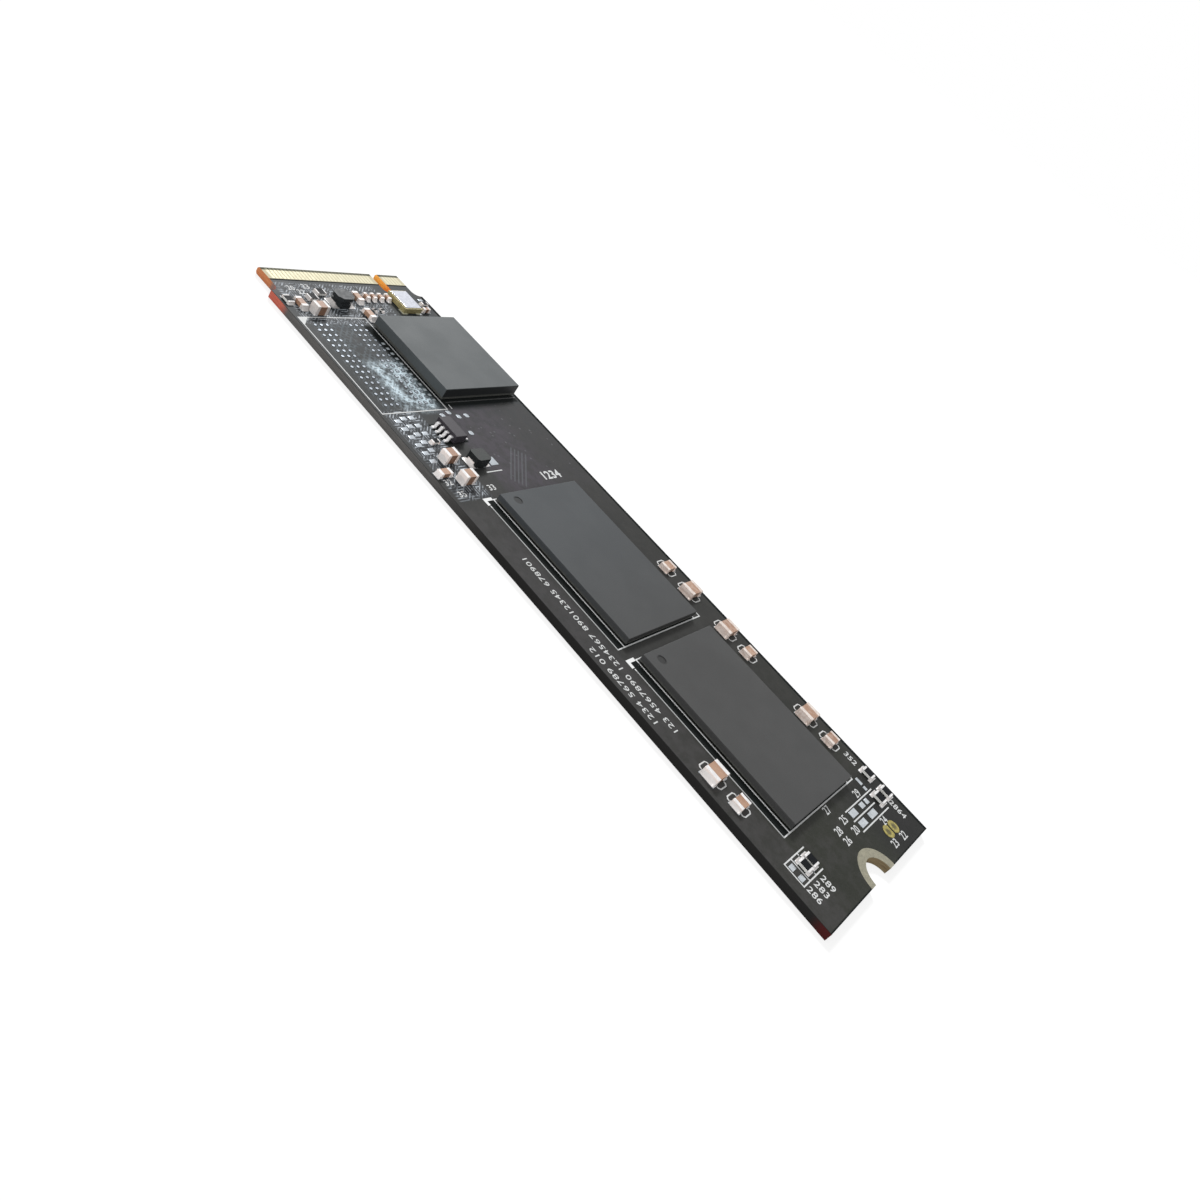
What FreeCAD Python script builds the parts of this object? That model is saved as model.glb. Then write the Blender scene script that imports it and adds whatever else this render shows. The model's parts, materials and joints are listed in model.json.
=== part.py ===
import FreeCAD, Part
import math
import os

# A bare solid-state drive on a narrow circuit board, lying on its underside.
# X runs across the board, +Y towards the gold fingers, +Z up.
# The origin is at the middle of the board, on its underside, and places across the board
# are measured from its middle line. All sizes are in millimetres.

# Board outline
board_length = 80.0
board_width = 22.0
board_thickness = 0.8
tongue_width = 19.85
tongue_length = 4.0
shoulder_radius = 1.0
tip_bevel = 0.2
key_offset = 6.125
key_width = 1.2
key_depth = 3.5

# Screw notch and its plated half rings
screw_notch_radius = 1.75
screw_land_radius = 2.6

# Gold fingers, let into the board so that they lie flush
plating_thickness = 0.04
finger_pitch = 0.5
finger_width = 0.35
finger_tip_margin = 0.25
finger_side_margin = 0.6
key_clear_pitches = 2.5
top_finger_length = 1.7
bottom_finger_length = 2.5

# Copper pads and printed ink on the upper side
pad_thickness = 0.03
ink_thickness = 0.02
ink_line = 0.12
flash_inner_line_gap = 0.13
flash_outer_line_gap = 1.2
flash_end_line_gap = 0.15
mark_bar = 0.36
mark_overhang = 0.25
mark_leg = 0.9
mark_clearance = 0.1
memory_triangle_side = 1.1
bracket_span = 1.3
bracket_depth = 0.42
bracket_gap = 0.04

# Controller package
controller_size = 11.8
controller_offset = 4.5
controller_tip_gap = 9.55
controller_ball_height = 0.2
controller_substrate_thickness = 0.25
controller_mold_thickness = 0.98
controller_ball_pitch = 0.8
controller_ball_rows = 14
controller_die_size = 5.6
controller_die_thickness = 0.3
power_block_length = 12.0

# Flash packages
flash_width = 12.0
flash_length = 18.0
flash_near_gap = 7.25
flash_between_gap = 1.75
flash_ball_height = 0.18
flash_substrate_thickness = 0.15
flash_mold_thickness = 0.52
flash_ball_pitch = 1.0
flash_ball_rows = 17
flash_ball_columns = 4
flash_ball_lane = 2.0
flash_die_width = 8.0
flash_die_length = 11.0
flash_die_thickness = 0.08
flash_die_step = 0.35
flash_die_count = 4

# Shared package details
ball_radius = 0.22
mold_edge_round = 0.06
dimple_radius = 0.45
dimple_depth = 0.05
dimple_inset_x = 1.65
dimple_inset_y = 1.1

# Empty memory position beside the controller
memory_controller_gap = 0.09
memory_outline_width = 9.1
memory_outline_length = 14.35
memory_pad_pitch = 0.8
memory_pad_radius = 0.16
memory_pad_rows = 16
memory_pad_columns = 3
memory_lane_pitches = 4

# Chip parts: size over the metal ends, length of an end, and for the two pads below
# the distance of their inner and outer ends from the middle, and their width
large_capacitor = dict(
    length=2.0, width=1.55, height=0.7, end=0.45,
    pad_inner=0.6, pad_outer=1.2, pad_width=1.7,
)
medium_capacitor = dict(
    length=1.6, width=1.1, height=0.5, end=0.35,
    pad_inner=0.4, pad_outer=0.95, pad_width=1.25,
)
tall_capacitor = dict(
    length=1.65, width=1.15, height=1.05, end=0.38,
    pad_inner=0.45, pad_outer=0.95, pad_width=1.25,
)
small_capacitor = dict(
    length=1.6, width=0.8, height=0.5, end=0.35,
    pad_inner=0.45, pad_outer=1.1, pad_width=0.9,
)
bypass_capacitor = dict(
    length=1.0, width=0.5, height=0.5, end=0.25,
    pad_inner=0.28, pad_outer=0.75, pad_width=0.55,
)
coupling_capacitor = dict(
    length=1.0, width=0.5, height=0.45, end=0.25,
    pad_inner=0.28, pad_outer=0.75, pad_width=0.55,
)
chip_resistor = dict(
    length=1.0, width=0.5, height=0.33, end=0.2,
    pad_inner=0.29, pad_outer=0.71, pad_width=0.55,
)
wide_resistor = dict(
    length=1.2, width=0.85, height=0.35, end=0.2,
    pad_inner=0.38, pad_outer=0.76, pad_width=0.95,
)
small_resistor = dict(
    length=0.6, width=0.3, height=0.23, end=0.13,
    pad_inner=0.15, pad_outer=0.45, pad_width=0.35,
)
terminal_thickness = 0.03
terminal_round = 0.05
resistor_coat_thickness = 0.05
wide_pad_right = 1.35
edge_row_clearance = 0.55

# Power inductors
input_inductor = dict(length=2.4, width=1.8, height=1.2, corner=0.5, waist=0.13)
output_inductor = dict(length=2.0, width=1.6, height=1.0, corner=0.2, waist=0.0)
inductor_flange = 0.4
inductor_plate = 0.05
inductor_foot_length = 0.6
inductor_tab_height = 0.42
inductor_tab_share = 0.55
coil_wire_width = 0.3
coil_side_wall = 0.2
coil_height = 0.5
coil_floor = 0.2
coil_lead = 0.14
inductor_pad_out = 0.45

# Crystal
crystal_width = 2.7
crystal_length = 3.3
crystal_base_height = 0.6
crystal_wall = 0.3
crystal_floor = 0.2
crystal_ledge_height = 0.1
crystal_ledge_length = 0.5
crystal_blank_thickness = 0.08
crystal_blank_gap = 0.15
crystal_lid_inset = 0.14
crystal_lid_thickness = 0.1
crystal_terminal_width = 0.85
crystal_terminal_length = 1.0
crystal_pad_out = 0.2

# Voltage regulator with four leads a side
regulator_width = 1.6
regulator_length = 2.9
regulator_height = 0.9
regulator_standoff = 0.06
regulator_span = 3.3
regulator_leads_a_side = 4
lead_pitch = 0.65
lead_width = 0.3
lead_thickness = 0.13
lead_foot = 0.42
lead_root = 0.25
regulator_die_size = 0.9
regulator_die_thickness = 0.2
regulator_pad_out = 0.15

# Edges and centres that places are measured from
right_edge = board_width / 2
left_edge = -board_width / 2
tip = board_length / 2
near_end = -board_length / 2
top = board_thickness
pad_top = top + pad_thickness
ink_top = top + ink_thickness
controller_x = controller_offset
controller_y = tip - controller_tip_gap - controller_size / 2
controller_near = controller_y - controller_size / 2
memory_right = controller_x - controller_size / 2 - memory_controller_gap
memory_x = memory_right - memory_outline_width / 2
memory_y = controller_y
flash_inner_line = flash_width / 2 + flash_inner_line_gap
flash_outer_line = flash_width / 2 + flash_outer_line_gap
edge_row = flash_outer_line + edge_row_clearance + large_capacitor["pad_outer"]

# As many flash packages as fit between the screw end and the power parts below the
# controller, numbered from the controller
flash_room = controller_near - power_block_length - near_end - flash_near_gap
flash_step = flash_length + flash_between_gap
flash_count = int((flash_room + flash_between_gap) / flash_step)
flash_first = near_end + flash_near_gap + flash_length / 2
flash_rows = [flash_first + flash_step * number for number in reversed(range(flash_count))]

# The capacitors beside each flash package: side of the board and distance from its middle
right, left = 1, -1
large_beside_flash = [
    [(right, -6.45)],
    [(right, 8.2), (right, -2.45), (left, -2.25)],
]
medium_beside_flash = [
    [(right, -3.2)],
    [(right, 5.2), (right, -5.45), (left, -5.2)],
]


def places_beside(flash_offsets):
    """Places in the rows at the board's edges, for each flash package that there is."""
    return [
        (side * edge_row, y + offset, "x")
        for y, offsets in zip(flash_rows, flash_offsets)
        for side, offset in offsets
    ]


# Places of the chip parts: centre and the way their length runs
large_places = places_beside(large_beside_flash)
medium_places = places_beside(medium_beside_flash)
tall_places = [
    (-7.45, tip - 7.45, "x"),
    (-7.62, controller_near - 7.95, "x"),
    (-7.7, controller_near - 10.8, "x"),
]
small_places = [
    (-9.7, controller_near - 9.7, "x"),
    (-8.95, tip - 6.3, "y"),
    (-0.2, tip - 5.0, "y"),
    (-0.7, tip - 7.9, "y"),
]
bypass_places = [(8.9, tip - 6.9, "x")]
coupling_places = [(x, tip - 4.8, "y") for x in (1.3, 2.3, 3.4, 4.5)]
small_resistor_places = [(x, tip - 7.0, "y") for x in (0.95, 2.0)]
resistor_places = [
    (9.75, tip - 5.65, "x"),
    (-7.3, controller_near - 5.65, "x"),
]
wide_far_places = [
    (-10.1, tip - 5.7, "y"),
    (-6.6, tip - 5.2, "x"),
    (-4.9, tip - 4.3, "x"),
]
wide_left_places = [(x, near_end + 4.62, "y") for x in (-7.85, -6.75)]
wide_right_places = [
    (8.16, near_end + 4.47, "y"),
    (9.76, near_end + 4.47, "y"),
    (9.76, near_end + 6.6, "y"),
]
input_inductor_place = (-3.25, tip - 5.85)
output_inductor_place = (-4.1, controller_near - 8.7)
crystal_place = (6.45, tip - 5.65)
regulator_place = (-4.25, controller_near - 4.6)


def box(x0, x1, y0, y1, z0, z1):
    """A box between two corners."""
    return Part.makeBox(x1 - x0, y1 - y0, z1 - z0, FreeCAD.Vector(x0, y0, z0))


def block(centre, size_x, size_y, z0, z1):
    """A box by the centre of its plan."""
    x, y = centre[0], centre[1]
    return box(x - size_x / 2, x + size_x / 2, y - size_y / 2, y + size_y / 2, z0, z1)


def disc(x, y, radius, z0, z1):
    """An upright cylinder."""
    return Part.makeCylinder(radius, z1 - z0, FreeCAD.Vector(x, y, z0))


def prism(points, z0, z1):
    """An upright prism over a closed outline of straight sides."""
    corners = [FreeCAD.Vector(x, y, z0) for x, y in points]
    face = Part.Face(Part.makePolygon(corners + [corners[0]]))
    return face.extrude(FreeCAD.Vector(0, 0, z1 - z0))


def rounded(solid, radius):
    """The same solid with all its edges rounded."""
    return solid.makeFillet(radius, solid.Edges)


def group(solids):
    """Separate solids kept together in one node."""
    return Part.makeCompound(solids)


def fused(solids):
    """Overlapping solids made into one piece."""
    whole = solids[0].fuse(solids[1:])
    return whole.removeSplitter()


def save(name, shape):
    """Write one node."""
    shape.exportStep(os.path.join("parts", name + ".step"))


def line(start, end):
    """A straight edge in the plane of the underside."""
    return Part.LineSegment(FreeCAD.Vector(*start, 0), FreeCAD.Vector(*end, 0)).toShape()


def arc(start, middle, end):
    """A round edge through three points in the plane of the underside."""
    points = [FreeCAD.Vector(*point, 0) for point in (start, middle, end)]
    return Part.Arc(*points).toShape()


def finger_centres(shift, side_margin):
    """X places of one side's fingers, on both sides of the key slot."""
    clear = key_clear_pitches * finger_pitch
    long_end = key_offset + shift - clear
    short_start = key_offset + shift + clear
    limit = tongue_width / 2 - side_margin
    long_count = int((long_end + limit) / finger_pitch) + 1
    short_count = int((limit - short_start) / finger_pitch) + 1
    long_side = [long_end - finger_pitch * i for i in range(long_count)]
    return long_side + [short_start + finger_pitch * i for i in range(short_count)]


def make_fingers(shift, length, z0, z1):
    """One side's row of gold fingers."""
    y1 = tip - finger_tip_margin
    return [
        box(x - finger_width / 2, x + finger_width / 2, y1 - length, y1, z0, z1)
        for x in finger_centres(shift, finger_side_margin)
    ]


def make_screw_land():
    """The plated half rings round the screw notch, one on each side of the board."""
    reach = screw_land_radius * 2
    rings = []
    for z0 in (0, board_thickness - plating_thickness):
        z1 = z0 + plating_thickness
        ring = disc(0, near_end, screw_land_radius, z0, z1)
        ring = ring.cut(disc(0, near_end, screw_notch_radius, z0, z1))
        rings.append(ring.common(box(-reach, reach, near_end, near_end + reach, z0, z1)))
    return rings


def board_outline():
    """The board's outline, with the screw notch, the shoulders and the key slot."""
    half = tongue_width / 2
    shoulder = tip - tongue_length
    bend = half + shoulder_radius
    dip = shoulder_radius * (1 - math.sqrt(0.5))
    notch_side = screw_notch_radius * math.sqrt(0.5)
    key_left = key_offset - key_width / 2
    key_right = key_offset + key_width / 2
    key_end = tip - key_depth
    key_turn = key_end + key_width / 2
    return [
        line((left_edge, near_end), (-screw_notch_radius, near_end)),
        arc(
            (-screw_notch_radius, near_end),
            (-notch_side, near_end + notch_side),
            (0, near_end + screw_notch_radius),
        ),
        arc(
            (0, near_end + screw_notch_radius),
            (notch_side, near_end + notch_side),
            (screw_notch_radius, near_end),
        ),
        line((screw_notch_radius, near_end), (right_edge, near_end)),
        line((right_edge, near_end), (right_edge, shoulder)),
        line((right_edge, shoulder), (bend, shoulder)),
        arc((bend, shoulder), (half + dip, shoulder + dip), (half, shoulder + shoulder_radius)),
        line((half, shoulder + shoulder_radius), (half, tip)),
        line((half, tip), (key_right, tip)),
        line((key_right, tip), (key_right, key_turn)),
        arc((key_right, key_turn), (key_offset, key_end), (key_left, key_turn)),
        line((key_left, key_turn), (key_left, tip)),
        line((key_left, tip), (-half, tip)),
        line((-half, tip), (-half, shoulder + shoulder_radius)),
        arc((-half, shoulder + shoulder_radius), (-half - dip, shoulder + dip), (-bend, shoulder)),
        line((-bend, shoulder), (left_edge, shoulder)),
        line((left_edge, shoulder), (left_edge, near_end)),
    ]


def make_board(inlays):
    """The laminated board, bevelled at the tip, with a pocket for each plated piece."""
    face = Part.Face(Part.Wire(board_outline()))
    board = face.extrude(FreeCAD.Vector(0, 0, board_thickness))
    for z, lean in ((0, 1), (board_thickness, -1)):
        corners = [
            FreeCAD.Vector(left_edge, tip - tip_bevel, z),
            FreeCAD.Vector(left_edge, tip, z),
            FreeCAD.Vector(left_edge, tip, z + lean * tip_bevel),
        ]
        wedge = Part.Face(Part.makePolygon(corners + [corners[0]]))
        board = board.cut(wedge.extrude(FreeCAD.Vector(board_width, 0, 0)))
    return board.cut(group(inlays))


def make_balls(centre, columns, pitch, rows, height):
    """Solder joints between a package and the board, as short columns."""
    first = centre[1] - pitch * (rows - 1) / 2
    return [
        disc(centre[0] + x, first + pitch * row, ball_radius, top, top + height)
        for x in columns
        for row in range(rows)
    ]


def make_package(name, centre, size, layers, dies, balls, dimpled):
    """A moulded package: balls, substrate, dies and the moulded cap round them."""
    ball_height, substrate_thickness, mold_thickness = layers
    substrate_bottom = top + ball_height
    substrate_top = substrate_bottom + substrate_thickness
    cap_top = substrate_top + mold_thickness
    cap = block(centre, size[0], size[1], substrate_top, cap_top)
    upper = [edge for edge in cap.Edges if edge.BoundBox.ZMax > cap_top - mold_edge_round]
    cap = cap.makeFillet(mold_edge_round, upper)
    if dimpled:
        x = centre[0] - size[0] / 2 + dimple_inset_x
        y = centre[1] + size[1] / 2 - dimple_inset_y
        cap = cap.cut(disc(x, y, dimple_radius, cap_top - dimple_depth, cap_top))
    cap = cap.cut(group(dies))
    save(name + "_mold_cap", cap)
    save(name + "_substrate", block(centre, size[0], size[1], substrate_bottom, substrate_top))
    save(name + "_solder_balls", group(balls))


def make_controller():
    """The controller package with one die."""
    centre = (controller_x, controller_y)
    layers = (controller_ball_height, controller_substrate_thickness, controller_mold_thickness)
    die_bottom = top + controller_ball_height + controller_substrate_thickness
    die = block(
        centre, controller_die_size, controller_die_size, die_bottom,
        die_bottom + controller_die_thickness,
    )
    span = controller_ball_pitch * (controller_ball_rows - 1)
    columns = [controller_ball_pitch * i - span / 2 for i in range(controller_ball_rows)]
    balls = make_balls(
        centre, columns, controller_ball_pitch, controller_ball_rows, controller_ball_height
    )
    save("controller_die", die)
    size = (controller_size, controller_size)
    make_package("controller", centre, size, layers, [die], balls, False)


def make_flash(name, y):
    """A flash package with a stepped stack of dies."""
    centre = (0, y)
    layers = (flash_ball_height, flash_substrate_thickness, flash_mold_thickness)
    die_bottom = top + flash_ball_height + flash_substrate_thickness
    dies = []
    for level in range(flash_die_count):
        shift = flash_die_step * (level - (flash_die_count - 1) / 2)
        z0 = die_bottom + flash_die_thickness * level
        place = (centre[0], centre[1] + shift)
        dies.append(block(place, flash_die_width, flash_die_length, z0, z0 + flash_die_thickness))
    columns = []
    for column in range(flash_ball_columns):
        x = flash_ball_lane + flash_ball_pitch * column
        columns += [-x, x]
    balls = make_balls(centre, columns, flash_ball_pitch, flash_ball_rows, flash_ball_height)
    save(name + "_dies", group(dies))
    make_package(name, centre, (flash_width, flash_length), layers, dies, balls, True)


def make_memory_pads():
    """The bare ball pads of the empty memory position, in two blocks beside a free lane."""
    pads = []
    for side in (-1, 1):
        for column in range(memory_pad_columns):
            steps = memory_lane_pitches / 2 + column
            x = memory_x + side * steps * memory_pad_pitch
            for row in range(memory_pad_rows):
                y = memory_y + memory_pad_pitch * (row - (memory_pad_rows - 1) / 2)
                pads.append(disc(x, y, memory_pad_radius, top, pad_top))
    return pads


def turned(place, size_along, size_across, z0, z1, offset=0.0):
    """A box whose length runs the way that the place says, moved along by an offset."""
    x, y, way = place
    if way == "x":
        return block((x + offset, y), size_along, size_across, z0, z1)
    return block((x, y + offset), size_across, size_along, z0, z1)


def chip_pads(place, chip, width=None):
    """The two copper pads below a chip part."""
    inner, outer = chip["pad_inner"], chip["pad_outer"]
    across = chip["pad_width"] if width is None else width
    middle = (inner + outer) / 2
    return [
        turned(place, outer - inner, across, top, pad_top, side * middle) for side in (-1, 1)
    ]


def chip_ends(place, chip, height, body):
    """The metal caps on both ends of a chip part, fitted round its body."""
    length, width, end = chip["length"], chip["width"], chip["end"]
    shell = rounded(turned(place, length, width, pad_top, pad_top + height), terminal_round)
    ends = []
    for side in (-1, 1):
        offset = side * (length - end) / 2
        slab = turned(place, end, width, pad_top, pad_top + height, offset)
        ends.append(shell.common(slab).cut(body))
    return ends


def make_capacitors(name, chip, places):
    """Ceramic chip capacitors of one size; gives back their pads."""
    bodies = []
    ends = []
    pads = []
    length, width, height = chip["length"], chip["width"], chip["height"]
    for place in places:
        body = turned(
            place, length - 2 * terminal_thickness, width - 2 * terminal_thickness,
            pad_top + terminal_thickness, pad_top + height - terminal_thickness,
        )
        bodies.append(body)
        ends += chip_ends(place, chip, height, body)
        pads += chip_pads(place, chip)
    save(name + "_bodies", group(bodies))
    save(name + "_terminals", group(ends))
    return pads


def make_resistors(name, chip, places):
    """Chip resistors: a ceramic slab, a dark coat on it and a metal cap on each end."""
    bodies = []
    coats = []
    ends = []
    length, width, height = chip["length"], chip["width"], chip["height"]
    end = chip["end"]
    slab_top = pad_top + height - resistor_coat_thickness
    for place in places:
        body = turned(
            place, length - 2 * terminal_thickness, width - 2 * terminal_thickness,
            pad_top + terminal_thickness, slab_top,
        )
        bodies.append(body)
        coats.append(turned(place, length - 2 * end, width, slab_top, pad_top + height))
        end_height = slab_top + terminal_thickness - pad_top
        ends += chip_ends(place, chip, end_height, body)
    save(name + "_bodies", group(bodies))
    save(name + "_coats", group(coats))
    save(name + "_terminals", group(ends))


def cut_corner_block(centre, size_x, size_y, corner, z0, z1):
    """An upright block with its four corners cut off."""
    x, y = centre
    a, b = size_x / 2, size_y / 2
    points = []
    for sx, sy in ((1, -1), (1, 1), (-1, 1), (-1, -1)):
        first = (x + sx * a, y + sy * (b - corner))
        second = (x + sx * (a - corner), y + sy * b)
        points += [first, second] if sx * sy > 0 else [second, first]
    return prism(points, z0, z1)


def make_inductor(name, place, size):
    """A power inductor: core, some with a waist, the coil inside it and two bent end plates."""
    length, width, height = size["length"], size["width"], size["height"]
    core_length = length - 2 * inductor_plate
    core_bottom = pad_top + inductor_plate
    core_top = pad_top + height
    corner, waist = size["corner"], size["waist"]
    core = cut_corner_block(place, core_length, width, corner, core_bottom, core_top)
    if waist > 0:
        z0, z1 = core_bottom + inductor_flange, core_top - inductor_flange
        inner_length, inner_width = core_length - 2 * waist, width - 2 * waist
        inner = cut_corner_block(place, inner_length, inner_width, corner, z0, z1)
        core = core.cut(block(place, length, length, z0, z1).cut(inner))
    coil_outer = min(core_length, width) / 2 - coil_side_wall
    coil_bottom = core_bottom + coil_floor
    x, y = place
    ring = disc(x, y, coil_outer, coil_bottom, coil_bottom + coil_height)
    hole = disc(x, y, coil_outer - coil_wire_width, coil_bottom, coil_bottom + coil_height)
    lead_reach = coil_outer - coil_wire_width / 2
    pieces = [ring.cut(hole)]
    for side in (-1, 1):
        x0, x1 = sorted((x + side * lead_reach, x + side * core_length / 2))
        pieces.append(
            box(x0, x1, y - coil_lead, y + coil_lead, coil_bottom, coil_bottom + coil_lead)
        )
    coil = fused(pieces)
    plates = []
    pads = []
    tab_width = width * inductor_tab_share
    for side in (-1, 1):
        end = x + side * length / 2
        foot_x = sorted((end - side * inductor_foot_length, end))
        tab_x = sorted((end - side * inductor_plate, end))
        y0, y1 = y - tab_width / 2, y + tab_width / 2
        foot = box(foot_x[0], foot_x[1], y0, y1, pad_top, core_bottom)
        tab = box(tab_x[0], tab_x[1], y0, y1, pad_top, pad_top + inductor_tab_height)
        plates.append(fused([foot, tab]))
        pad_x = sorted((end - side * inductor_foot_length, end + side * inductor_pad_out))
        pads.append(box(pad_x[0], pad_x[1], y - width / 2, y + width / 2, top, pad_top))
    save(name + "_core", core.cut(coil))
    save(name + "_coil", coil)
    save(name + "_terminals", group(plates))
    return pads


def make_crystal():
    """A crystal in a ceramic tub: tub, quartz blank on its ledge, metal lid, four terminals."""
    x, y = crystal_place
    base_bottom = pad_top + pad_thickness
    base_top = base_bottom + crystal_base_height
    floor = base_bottom + crystal_floor
    inner_width = crystal_width - 2 * crystal_wall
    inner_length = crystal_length - 2 * crystal_wall
    base = block(crystal_place, crystal_width, crystal_length, base_bottom, base_top)
    base = base.cut(block(crystal_place, inner_width, inner_length, floor, base_top))
    ledge_end = y - inner_length / 2
    ledge_top = floor + crystal_ledge_height
    ledge = box(
        x - inner_width / 2, x + inner_width / 2, ledge_end, ledge_end + crystal_ledge_length,
        floor, ledge_top,
    )
    base = fused([base, ledge])
    blank = block(
        crystal_place, inner_width - 2 * crystal_blank_gap, inner_length - 2 * crystal_blank_gap,
        ledge_top, ledge_top + crystal_blank_thickness,
    )
    lid = block(
        crystal_place, crystal_width - 2 * crystal_lid_inset,
        crystal_length - 2 * crystal_lid_inset, base_top, base_top + crystal_lid_thickness,
    )
    upper = [edge for edge in lid.Edges if edge.BoundBox.ZMin > base_top]
    lid = lid.makeFillet(crystal_lid_thickness / 2, upper)
    terminals = []
    pads = []
    for sx in (-1, 1):
        for sy in (-1, 1):
            corner_x = x + sx * (crystal_width - crystal_terminal_width) / 2
            corner_y = y + sy * (crystal_length - crystal_terminal_length) / 2
            size = (crystal_terminal_width, crystal_terminal_length)
            terminals.append(block((corner_x, corner_y), *size, pad_top, base_bottom))
            shifted = (corner_x + sx * crystal_pad_out, corner_y + sy * crystal_pad_out)
            pads.append(block(shifted, *size, top, pad_top))
    save("crystal_base", base)
    save("crystal_blank", blank)
    save("crystal_lid", lid)
    save("crystal_terminals", group(terminals))
    return pads


def make_lead(side, y):
    """One gull-wing lead: foot on its pad, riser, and a root inside the body."""
    x = regulator_place[0]
    foot_end = regulator_span / 2
    root_end = regulator_width / 2 - lead_root
    z0 = pad_top
    z1 = pad_top + regulator_height / 2
    bend_low = foot_end - lead_foot
    bend_high = bend_low - lead_thickness
    profile = [
        (foot_end, z0),
        (bend_low - lead_thickness / 2, z0),
        (bend_high - lead_thickness / 2, z1),
        (root_end, z1),
        (root_end, z1 + lead_thickness),
        (bend_high + lead_thickness / 2, z1 + lead_thickness),
        (bend_low + lead_thickness / 2, z0 + lead_thickness),
        (foot_end, z0 + lead_thickness),
    ]
    corners = [FreeCAD.Vector(x + side * a, y - lead_width / 2, z) for a, z in profile]
    face = Part.Face(Part.makePolygon(corners + [corners[0]]))
    return face.extrude(FreeCAD.Vector(0, lead_width, 0))


def make_regulator():
    """The voltage regulator: moulded body, its die, and four leads on each side."""
    x, y = regulator_place
    bottom = pad_top + regulator_standoff
    body_top = pad_top + regulator_height
    body = block(regulator_place, regulator_width, regulator_length, bottom, body_top)
    upper = [edge for edge in body.Edges if edge.BoundBox.ZMin > bottom + mold_edge_round]
    body = body.makeFillet(mold_edge_round, upper)
    die_bottom = pad_top + regulator_height / 2
    die = block(
        regulator_place, regulator_die_size, regulator_die_size, die_bottom,
        die_bottom + regulator_die_thickness,
    )
    leads = []
    pads = []
    foot_end = regulator_span / 2
    pad_inner = foot_end - lead_foot - lead_thickness
    pad_outer = foot_end + regulator_pad_out
    for side in (-1, 1):
        for number in range(regulator_leads_a_side):
            lead_y = y + lead_pitch * (number - (regulator_leads_a_side - 1) / 2)
            leads.append(make_lead(side, lead_y))
            pad_x = x + side * (pad_inner + pad_outer) / 2
            pads.append(
                block((pad_x, lead_y), pad_outer - pad_inner, lead_width, top, pad_top)
            )
    save("regulator_body", body.cut(group(leads + [die])))
    save("regulator_die", die)
    save("regulator_leads", group(leads))
    return pads


def make_bare_pads():
    """Copper pads with nothing on them."""
    pads = []
    for x, first, count in ((-9.5, 2.4, 6), (-8.5, 2.1, 5), (-7.4, 2.1, 3)):
        for row in range(count):
            place = (x, controller_near - first - 1.1 * row)
            pads.append(block(place, 0.75, 0.5, top, pad_top))
    for x, drop in ((-1.2, 4.85), (0.4, 2.4), (-0.85, 2.45), (-1.75, 1.75), (-2.9, 2.1)):
        pads.append(disc(x, controller_near - drop, 0.3, top, pad_top))
    pads.append(block((-1.85, controller_near - 8.85), 1.1, 1.1, top, pad_top))
    row_1 = near_end + 5.0
    row_2 = near_end + 3.93
    pads += [
        block((3.3, row_1), 1.25, 0.62, top, pad_top),
        block((5.3, row_1), 0.8, 0.5, top, pad_top),
        block((6.35, row_1), 0.6, 0.5, top, pad_top),
        block((3.4, row_2), 1.3, 0.6, top, pad_top),
        block((5.65, row_2), 1.45, 0.6, top, pad_top),
        block((7.8, near_end + 6.6), 0.42, 0.75, top, pad_top),
        block((7.75, near_end + 5.83), 0.42, 0.4, top, pad_top),
        block((-9.1, near_end + 5.12), 0.7, 0.5, top, pad_top),
        block((-9.1, near_end + 4.12), 0.7, 0.5, top, pad_top),
        block((10.0, tip - 4.75), 0.7, 0.4, top, pad_top),
    ]
    return pads


def make_jumper_pads():
    """Two half-round pads facing each other across a narrow gap."""
    y = near_end + 2.05
    radius = 0.62
    gap = 0.25
    middle = 6.2
    pads = []
    for side in (-1, 1):
        x = middle + side * (gap / 2 + radius * 0.75)
        whole = disc(x, y, radius, top, pad_top)
        inner = sorted((middle + side * gap / 2, middle + side * radius * 3))
        pads.append(whole.common(box(inner[0], inner[1], y - radius, y + radius, top, pad_top)))
    return pads


def stroke(x0, y0, x1, y1):
    """A printed line along X or Y, given by its middle line."""
    half = ink_line / 2
    ends_x = sorted((x0, x1))
    ends_y = sorted((y0, y1))
    return box(
        ends_x[0] - half, ends_x[1] + half, ends_y[0] - half, ends_y[1] + half, top, ink_top
    )


def frame_outline(x0, x1, y0, y1):
    """A printed rectangle, one closed line."""
    return fused([
        stroke(x0, y0, x1, y0),
        stroke(x1, y0, x1, y1),
        stroke(x0, y1, x1, y1),
        stroke(x0, y0, x0, y1),
    ])


def flash_lines(y):
    """The printed lines round a flash package: two at each long side, one at each end."""
    near = y - flash_length / 2 - flash_end_line_gap
    far = y + flash_length / 2 + flash_end_line_gap
    mark_clear = far + mark_bar - mark_leg - mark_clearance - ink_line
    return fused([
        stroke(-flash_outer_line, near, -flash_outer_line, mark_clear),
        stroke(-flash_outer_line, near, flash_outer_line, near),
        stroke(flash_outer_line, near, flash_outer_line, far),
        stroke(-flash_inner_line, near, -flash_inner_line, far),
        stroke(flash_inner_line, near, flash_inner_line, far),
        stroke(-flash_inner_line, far, flash_outer_line, far),
    ])


def flash_mark(y):
    """The printed corner mark at a flash package's first ball."""
    bottom = y + flash_length / 2 + flash_end_line_gap - ink_line / 2
    far = bottom + mark_bar
    left = -flash_outer_line - mark_overhang
    across = box(left, -flash_inner_line - ink_line, bottom, far, top, ink_top)
    down = box(left, left + mark_bar, far - mark_leg, far, top, ink_top)
    return fused([across, down])


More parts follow.
